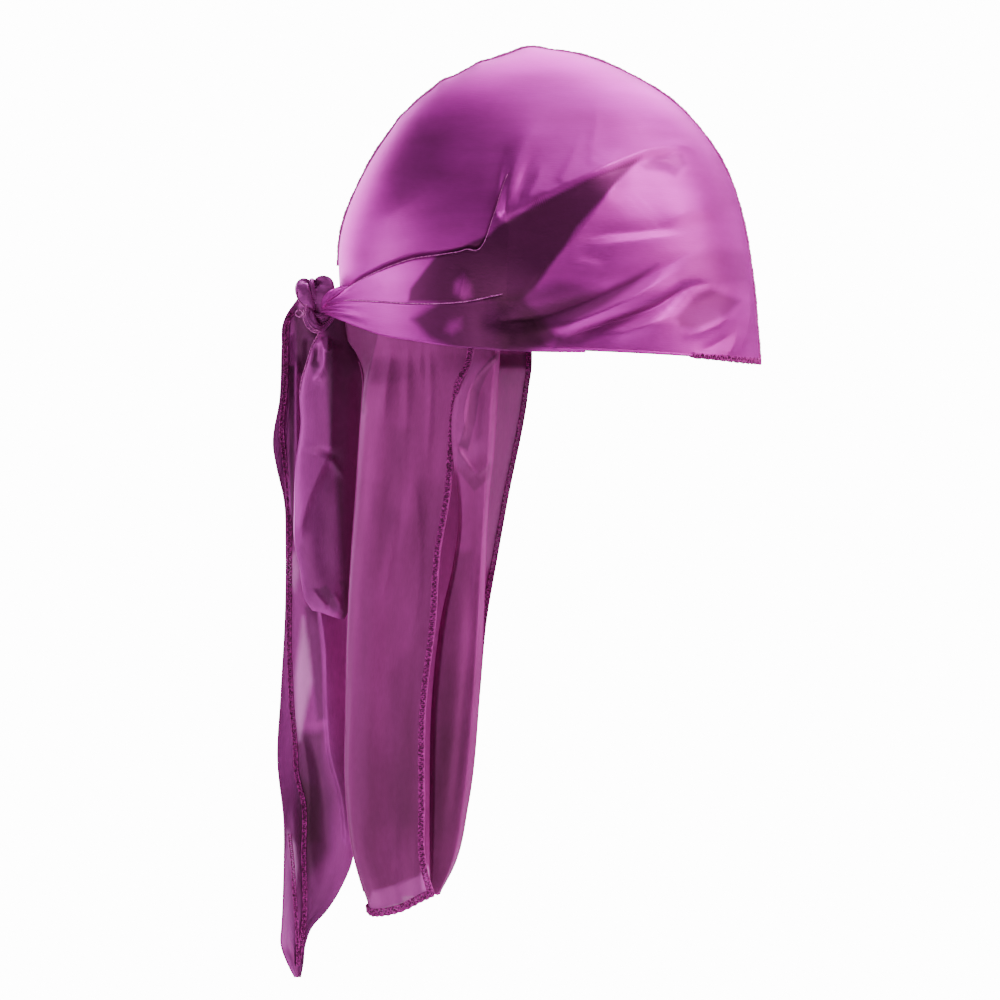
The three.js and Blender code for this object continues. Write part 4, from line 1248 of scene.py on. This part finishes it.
# painted shade on the turned front; the row with a negative strength paints light
TURNED_SHADE = [
    # corners in x and z, strength, softness of the edge in mm
    ([(-62, -150), (-34, -150), (-44, -262), (-66, -262)], 0.42, 44),
    ([(-52, -176), (-37, -176), (-44, -225), (-56, -225)], 0.3, 20),
    ([(-37, -2), (-24, 2), (-25, -40), (-38, -40)], -0.3, 6),
    ([(-44, -92), (-36, -92), (-40, -190), (-46, -250), (-58, -250), (-54, -150)], 0.3, 4),
    ([(-23.9, 1), (-28, -2.6), (-33.5, -8.8), (-36.8, -17), (-38.9, -31), (-42.3, -42.5), (-38, -45),
     (-34.4, -31), (-32.6, -18), (-29.6, -10.5), (-25.8, -4.8), (-23.9, -2)], 0.5, 1.0),
    ([(-42.6, -44), (-34.4, -55.6), (-27, -50.4), (-28, -58), (-35, -64), (-43, -54)], 0.34, 1.2),
]
# painted glow on the turned front
TURNED_PAINTED_GLOW = [
    ([(-47, -2), (-31, -4), (-29, -46), (-44, -54)], 0.12, 7),
    ([(-30, -5), (-22, -5), (-26, -60), (-30, -60)], 0.05, 5),
]
turned = cloth(
    "flap_turned_front", turned_grid, FLAP_SATIN,
    sheer=shading(turned_grid, TURNED_PAINTED_GLOW), shade=shading(turned_grid, TURNED_SHADE),
)
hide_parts("nape_flap")

# %% [markdown]
# ## The loop
#
# The strap hangs from the knot as a loop, two layers of cloth with a rounded bottom. Its front
# has one long crease: bright on the left of it, and on the right in shadow with painted shade.
# A loop is closed all round, so each level section is a flattened ellipse, and only its front
# gets the folds.

# %% The loop
LOOP_SECTIONS = np.array([
    # drop from the loop's top, left edge x, right edge x, half depth
    [-4, -107, -98, 1.2],
    [0, -106, -95.2, 1.6],
    [5, -107.9, -93.8, 2.4],
    [10.4, -110.8, -92.4, 3.2],
    [15.4, -112.6, -89.8, 3.8],
    [20, -114, -87, 4.2],
    [25.4, -115.8, -84.8, 4.4],
    [31.5, -116.9, -85.0, 4.6],
    [49, -116.8, -87, 4.6],
    [67, -119.0, -88.6, 4.6],
    [87, -119.8, -90.3, 4.4],
    [104, -119.6, -91.6, 4.2],
    [117, -117, -92.6, 3.8],
    [125, -116, -93.2, 3.4],
    [132, -114, -94, 2.6],
    [136, -111, -96, 1],
])
LOOP_TOP = 16.0
LOOP_MIDDLE = -6.2  # y of the loop's middle plane
LOOP_SHARPNESS = 1.1  # above 1 its sections come to an edge at both sides
LOOP_FOLDS = [
    # path, lift, widths on its left and right, crispness, ends
    ([(-101.5, 8), (-101.6, -18.6), (-102.4, -47.5)], 2.4, 3, 9, 1.3, (0.1, 0.9)),
    ([(-102.4, -45), (-107.3, -54.5), (-112.4, -66.3), (-115.9, -78.5), (-117.1, -89.5)],
     1.8, 2.2, 7, 1.3, (0.1, 0.8)),
    ([(-103, -48.4), (-99, -53), (-95.4, -58)], 1.0, 1.6, 2, 1.5, (0.1, 0.7)),
    # the rim of the small opening at the top, and the hollow beside it
    ([(-107.4, 9), (-105.9, 3), (-105.4, -2.3), (-106.8, -7.7), (-111, -13)],
     1.6, 2.4, 1.0, 1.3, (0.1, 0.8)),
    ([(-109, 6), (-108.6, 0), (-110, -6)], -1.6, 1.8, 1.8, 2, (0.3, 0.7)),
    ([(-104, 9), (-103.8, 5), (-104.6, 1)], 0.9, 0.9, 0.9, 1.5, (0.1, 0.8)),
    ([(-89, -5), (-91, -50), (-93, -105)], -1.4, 3, 3, 2, (0.1, 0.8)),
    ([(-111.5, -109), (-107, -115), (-103.9, -119)], 0.7, 1.2, 2.4, 1.6, (0.3, 0.8)),
    ([(-101.5, -111), (-98, -117), (-97.8, -121)], 0.6, 1.2, 2.2, 1.6, (0.3, 0.8)),
    ([(-104, -62), (-106, -88), (-103, -112)], -1.0, 5, 5, 2, (0.3, 0.7)),
]


def loop_points(rows=260, columns=110):
    """A closed-bottomed bag: section ellipses, sharpened at both edges, down the loop."""
    around, drop = np.meshgrid(np.linspace(0, 2 * np.pi, columns), np.linspace(-4, 136, rows))
    left, right, depth = through(LOOP_SECTIONS, drop)
    x = (left + right) / 2 + (right - left) / 2 * np.cos(around)
    z = LOOP_TOP - drop - 4 * smooth(drop, 118, 136) * smooth(x, -112, -96)
    front = np.sin(around)
    crease = folds(x, z, LOOP_FOLDS) * (front > 0) * np.minimum(front * 3, 1)
    half = depth * np.sign(front) * np.abs(front) ** LOOP_SHARPNESS
    return np.stack([x, LOOP_MIDDLE - half - crease * smooth(drop, 0, 10), z], axis=-1)


loop_grid = loop_points()
# painted shade on the loop, darkest to the right of its crease
LOOP_SHADE = [
    # corners in x and z, strength, softness of the edge in mm
    ([(-108, 26), (-104, 8), (-104.6, -7), (-103.9, -21), (-103, -35), (-103, -47), (-100, -56),
     (-97, -110), (-98, -124), (-84, -124), (-84, 26)], 0.72, 3.5),
    ([(-102.8, -47), (-107.3, -54.5), (-112.4, -66.3), (-116, -78.5), (-117.6, -92), (-114, -118),
     (-96, -120), (-98, -60)], 0.3, 3),
    ([(-109, 4), (-107, 2), (-107.5, -6), (-110.5, -10), (-112, -4)], 0.5, 2),
    ([(-108.6, -110), (-104.6, -115), (-101.6, -121), (-98, -121), (-100.6, -114), (-104.6, -108)],
     0.4, 2),
    ([(-98.6, -106), (-96.6, -112), (-95, -120), (-93, -118), (-94.4, -106)], 0.3, 2),
]
loop = cloth("hanging_loop", loop_grid, TIE_SATIN, flip=True, shade=shading(loop_grid, LOOP_SHADE))
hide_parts("tie_loop")
loop_side = loop_grid[4:70, 55] + [0, -0.4, 0]
FORWARD = (1, 0, 0)
loop_stitches = overlocked(loop_side, FORWARD, width=1.5, pitch=1.9, thread=0.26, rise=-0.8)
loop_hem = tubes_piece("loop_hem", loop_stitches, SEAM_THREAD)

# %% [markdown]
# ## The tie ends
#
# Both tie ends hang behind the loop, each folded lengthwise and cut on the slant. A table of
# edges gives each strip's outline, and long folds give it the pale and dark stripes of creased
# satin, which painted glow and painted shade make stronger.

# %% The tie ends
LONG_TIE = np.array([
    # z, left edge x, right edge x
    [-292.5, -119.5, -116.5],
    [-286, -122.8, -115.3],
    [-276.6, -126, -114.2],
    [-268.6, -125.6, -111],
    [-262, -125.2, -105],
    [-257, -125, -101.4],
    [-248, -124.7, -96.4],
    [-240, -124.5, -93],
    [-220, -124.5, -91.5],
    [-190, -127.5, -92.5],
    [-160, -126, -92.6],
    [-118, -123.8, -93.6],
    [-90, -123.6, -94],
    [-68, -124.4, -95],
    [-52, -128, -99],
    [-43, -129.5, -101],
    [-20, -126.4, -104],
    [5, -125.4, -105],
    [15, -124.8, -107],
    [19.3, -123, -108],
    [23.6, -120.1, -111],
    [26.5, -118, -112],
])
LONG_FOLDS = [
    # path, lift, widths on its left and right, crispness, ends
    # the edge strip stands off, then a dark gap, then a light fold beside it
    ([(-121.3, 12), (-122.4, -20), (-124.6, -44), (-121.4, -90)], -1.5, 1.4, 1.6, 1.8, (0.05, 0.8)),
    ([(-118.6, 2), (-118.8, -20), (-118.4, -50), (-119, -80)], 1.6, 1.6, 1.8, 1.6, (0.1, 0.7)),
    ([(-113, 10), (-113.5, -20), (-114, -60)], -1.5, 3, 2.4, 2, (0.05, 0.8)),
    # the smooth tail lies over the rest of the tie with a folded edge
    ([(-108.7, -112), (-105.3, -138), (-104.6, -167), (-102.5, -190), (-97.8, -207), (-95.4, -232)],
     2.6, 12, 0.8, 1.6, (0.12, 0.9)),
    ([(-113.5, -120), (-112, -150), (-113, -175)], -1.2, 3.4, 3, 2, (0.2, 0.7)),
    ([(-117, -170), (-113, -200), (-112, -230), (-109, -255)], 1.0, 2.6, 2.6, 1.6, (0.2, 0.8)),
    ([(-112, -178), (-106, -205), (-104, -240)], -0.9, 3, 3, 2, (0.2, 0.8)),
    ([(-120.4, -205), (-119, -235), (-118, -280)], 1.0, 1.8, 1.8, 1.6, (0.2, 0.9)),
]
SHORT_TIE = np.array([
    # z, left edge x, right edge x
    [-252, -106, -100],
    [-246, -110, -97.5],
    [-236, -110.5, -92.6],
    [-215, -108.5, -90.4],
    [-185, -106.5, -92],
    [-160, -105.5, -92.2],
    [-140, -106.3, -93],
    [-120, -108.6, -93.5],
    [-80, -110, -95],
    [-40, -112, -98],
    [0, -112, -104],
    [14, -111, -105],
])
SHORT_FOLDS = [
    ([(-103, -120), (-102, -165), (-99, -205), (-98, -240)], -1.2, 3, 3, 2, (0.1, 0.9)),
    ([(-97, -120), (-96, -170), (-94, -225)], 1.2, 2.4, 2.4, 2, (0.1, 0.9)),
]


def tie_points(table, rows_of_folds, depth, rows=260, columns=70):
    """A hanging strip between two edges, bowed a little, with its folds."""
    share, z = np.meshgrid(np.linspace(0, 1, columns), np.linspace(table[-1, 0], table[0, 0], rows))
    left, right = through(table, z)
    x = mix(left, right, share)
    back = mix(0.3, 1, smooth(-z, -20, 20)) * depth
    y = back + 1.2 * np.sin(share * 2 * np.pi + z / 30) - folds(x, z, rows_of_folds)
    return np.stack([x, y, z], axis=-1)


LONG_BACK, SHORT_BACK = 4.4, 9.5  # how far behind the loop each end hangs
long_grid = tie_points(LONG_TIE, LONG_FOLDS, LONG_BACK)
short_grid = tie_points(SHORT_TIE, SHORT_FOLDS, SHORT_BACK)
print("lowest points of the tie ends in mm:", long_grid[..., 2].min(), short_grid[..., 2].min())

# %% [markdown]
# ## Painted glow and shade of the tie ends
#
# The long end gets a painted glow where one layer of it hangs free with light behind, and painted
# shade where it is doubled or lies in the loop's shade. Areas like those on the crown paint both.

# %% Painted glow and shade of the tie ends
# painted glow on the long tie end
LONG_PAINTED_GLOW = [
    # corners in x and z, strength, softness of the edge in mm
    ([(-115.6, -123), (-113.3, -136), (-111.6, -153), (-117.3, -181), (-119.2, -170.5),
     (-119, -149.7), (-116.6, -132)], 0.68, 4),
    ([(-122.8, -224), (-119.6, -230), (-118.6, -240), (-119.4, -249), (-121.2, -240)], 0.7, 3),
    ([(-122, -94), (-118.6, -92), (-117.6, -102), (-119.6, -111), (-122, -106)], 0.4, 4),
    ([(-128, -236), (-122.6, -232), (-121, -280), (-127, -276)], 0.2, 4),
]
# painted shade on the long tie end; the last row, with a negative strength, paints light
LONG_SHADE = [
    ([(-122.4, -5), (-119.8, -5), (-119.4, -87), (-121.6, -87)], 0.7, 1.5),
    ([(-115, -118), (-108, -118), (-104.8, -171), (-109, -172)], 0.5, 3),
    ([(-118.5, -177), (-106, -177), (-108, -228), (-118, -230)], 0.45, 5),
    ([(-117, -178), (-106, -176), (-101, -205), (-103, -232), (-112, -244), (-116, -225)], 0.42, 7),
    ([(-120, 23), (-108, 23), (-106, 4), (-113, -12), (-118, -8)], 0.72, 2.5),
    ([(-118, -190), (-98, -190), (-104, -262), (-128, -262)], 0.3, 24),
    ([(-128, -205), (-98, -205), (-108, -296), (-130, -296)], 0.42, 24),
    ([(-120.5, -196), (-116, -212), (-116, -250), (-108, -236), (-107, -205)], 0.3, 5),
    ([(-130, -226), (-122, -226), (-120.6, -282), (-128, -276)], -0.7, 3),
]
long_tie = cloth(
    "long_tie_end", long_grid, TIE_SATIN,
    sheer=shading(long_grid, LONG_PAINTED_GLOW), shade=shading(long_grid, LONG_SHADE),
)
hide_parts("tie_end_long")
short_tie = cloth("short_tie_end", short_grid, TIE_SATIN)
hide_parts("tie_end_short")

# %% [markdown]
# ## The stitches of the tie ends
#
# The long end has an overlocked line a little in from its edge. Its path is read from the side
# view and then laid on the cloth, so the thread follows every fold.

# %% The stitches of the tie ends


def laid_on(grid, path, count, off=0.5):
    """A line through x and z points, laid off millimetres in front of a sheet's nearest points."""
    line = spaced(path, count)
    flat = grid.reshape(-1, 3)
    away = (flat[None, :, 0] - line[:, :1]) ** 2 + (flat[None, :, 2] - line[:, 1:]) ** 2
    depth = flat[away.argmin(1), 1]
    return np.stack([line[:, 0], depth - off, line[:, 1]], axis=-1)


INNER_STITCH = [
    (-121.9, 20), (-123.7, 15.7), (-124.3, 8.5), (-125, -17), (-126.6, -34), (-125.5, -46),
    (-123.6, -62), (-122.8, -90), (-123, -138), (-121.9, -164), (-120.2, -184), (-119.6, -196),
    (-116.2, -211), (-116.2, -236), (-115.6, -254), (-115.8, -264), (-117, -274), (-118.8, -286),
]
LOWER_STITCH = [(-122.6, -225), (-121.4, -236), (-120.2, -254), (-119, -271), (-118.6, -287)]
inner_line, lower_line = laid_on(long_grid, INNER_STITCH, 300), laid_on(long_grid, LOWER_STITCH, 90)
tie_hems = [
    *overlocked(inner_line, FORWARD, width=1.7, pitch=1.8, thread=0.3, rise=-0.3),
    *overlocked(lower_line, FORWARD, width=1.3, pitch=1.8, thread=0.26, rise=-0.3),
]
tie_edge = tubes_piece("tie_edges", [tube(long_grid[:, 0], 0.35, sides=6)], TIE_SATIN)
tie_hem = tubes_piece("tie_hems", tie_hems, THREAD)

# %% [markdown]
# ## Floor and world
#
# The picture is a plain side view on white. The camera sees a bright world, but the cloth is lit
# by a nearly black one, because white light from all round would wash the satin out.

# %% Floor and world
floor_tree = Tree("pale floor")
speck = floor_tree.node("ShaderNodeTexNoise", None, {"Scale": 40.0})
floor_tree.set(Base_Color=(0.86, 0.86, 0.86, 1), Roughness=speck * 0.1 + 0.7)
floor_points = np.array([[-500, -500, -350], [500, -500, -350], [500, 450, -350], [-500, 450, -350]])
floor = make_mesh("floor", floor_points, [[0, 1, 2, 3]], floor_tree.material)

SEEN_WHITE = 14  # strong enough to be plain white in the picture
world = bpy.data.worlds.new("pale studio")
bpy.context.scene.world = world
world.use_nodes = True
nodes, links = world.node_tree.nodes, world.node_tree.links
seen, lit = nodes["Background"], nodes.new("ShaderNodeBackground")
seen.inputs["Strength"].default_value = SEEN_WHITE
seen.inputs["Color"].default_value = (1, 1, 1, 1)
lit.inputs["Color"].default_value = (0.03, 0.03, 0.03, 1)
rays, choose = nodes.new("ShaderNodeLightPath"), nodes.new("ShaderNodeMixShader")
links.new(rays.outputs["Is Camera Ray"], choose.inputs["Fac"])
links.new(lit.outputs[0], choose.inputs[1])
links.new(seen.outputs[0], choose.inputs[2])
links.new(choose.outputs[0], nodes["World Output"].inputs["Surface"])
print("world strength as the camera sees it:", SEEN_WHITE)

# %% [markdown]
# ## Lamps
#
# Satin shows its lamps, so they matter most: a wide one above and behind for the pale crown, one
# above and in front, one behind the knot for the back of the strap, and very little from where
# the camera stands, which leaves the cloth that faces it deep. Two tints keep the pale cloth
# from turning to a hot pink: the purple dye takes most of the green away again.

# %% Lamps


def lamp(name, place, size, power, colour=(1, 1, 1)):
    """A square soft lamp at a place in metres, turned to the origin."""
    light = bpy.data.lights.new(name, "AREA")
    light.shape, light.size, light.energy, light.color = "SQUARE", size, power, colour
    lit_object = bpy.data.objects.new(name, light)
    bpy.context.scene.collection.objects.link(lit_object)
    lit_object.visible_camera = False
    lit_object.location = place
    lit_object.rotation_euler = lit_object.location.to_track_quat("Z", "Y").to_euler()


DUSTY = (0.95, 1.35, 1.1)
VIOLET = (0.97, 1.1, 1.18)
lamp("key above and in front", (1.26, -0.48, 1.15), 0.8, 30, (1, 0.95, 1.12))
lamp("front", (1.65, -0.32, 0.14), 0.7, 13)
lamp("edge of the front", (1.25, 0.95, 0.35), 0.8, 5, DUSTY)
lamp("top", (0.0, -0.5, 1.55), 0.8, 5, DUSTY)
lamp("above and behind", (0.25, 0.95, 1.2), 1.4, 62, VIOLET)
lamp("behind the knot", (-1.6, -0.25, 0.16), 0.8, 13, (0.97, 1, 1.12))
lamp("backdrop", (-0.85, 1.15, 0.2), 1.0, 28, VIOLET)
lamp("beside the lens", (-0.9, -1.9, -0.4), 0.8, 7, (0.95, 1.4, 1.0))
print("lamps:", len(bpy.data.lights))

# %% [markdown]
# ## Camera
#
# A long lens far away gives a side view with hardly any perspective. Its focal length is the
# sensor's width times the distance over the width of the picture at the object.

# %% Camera
FIELD = 0.47  # metres across the picture at the object
DISTANCE = 9.0
SENSOR = 36  # mm
camera_data = bpy.data.cameras.new("side view")
camera = bpy.data.objects.new("side view", camera_data)
bpy.context.scene.collection.objects.link(camera)
camera.location = (-0.023, -DISTANCE, -0.068)
camera.rotation_euler = (np.pi / 2, 0, 0)
camera_data.sensor_width = SENSOR
camera_data.lens = SENSOR * DISTANCE / FIELD
bpy.context.scene.camera = camera
print("camera lens:", round(camera_data.lens, 1))
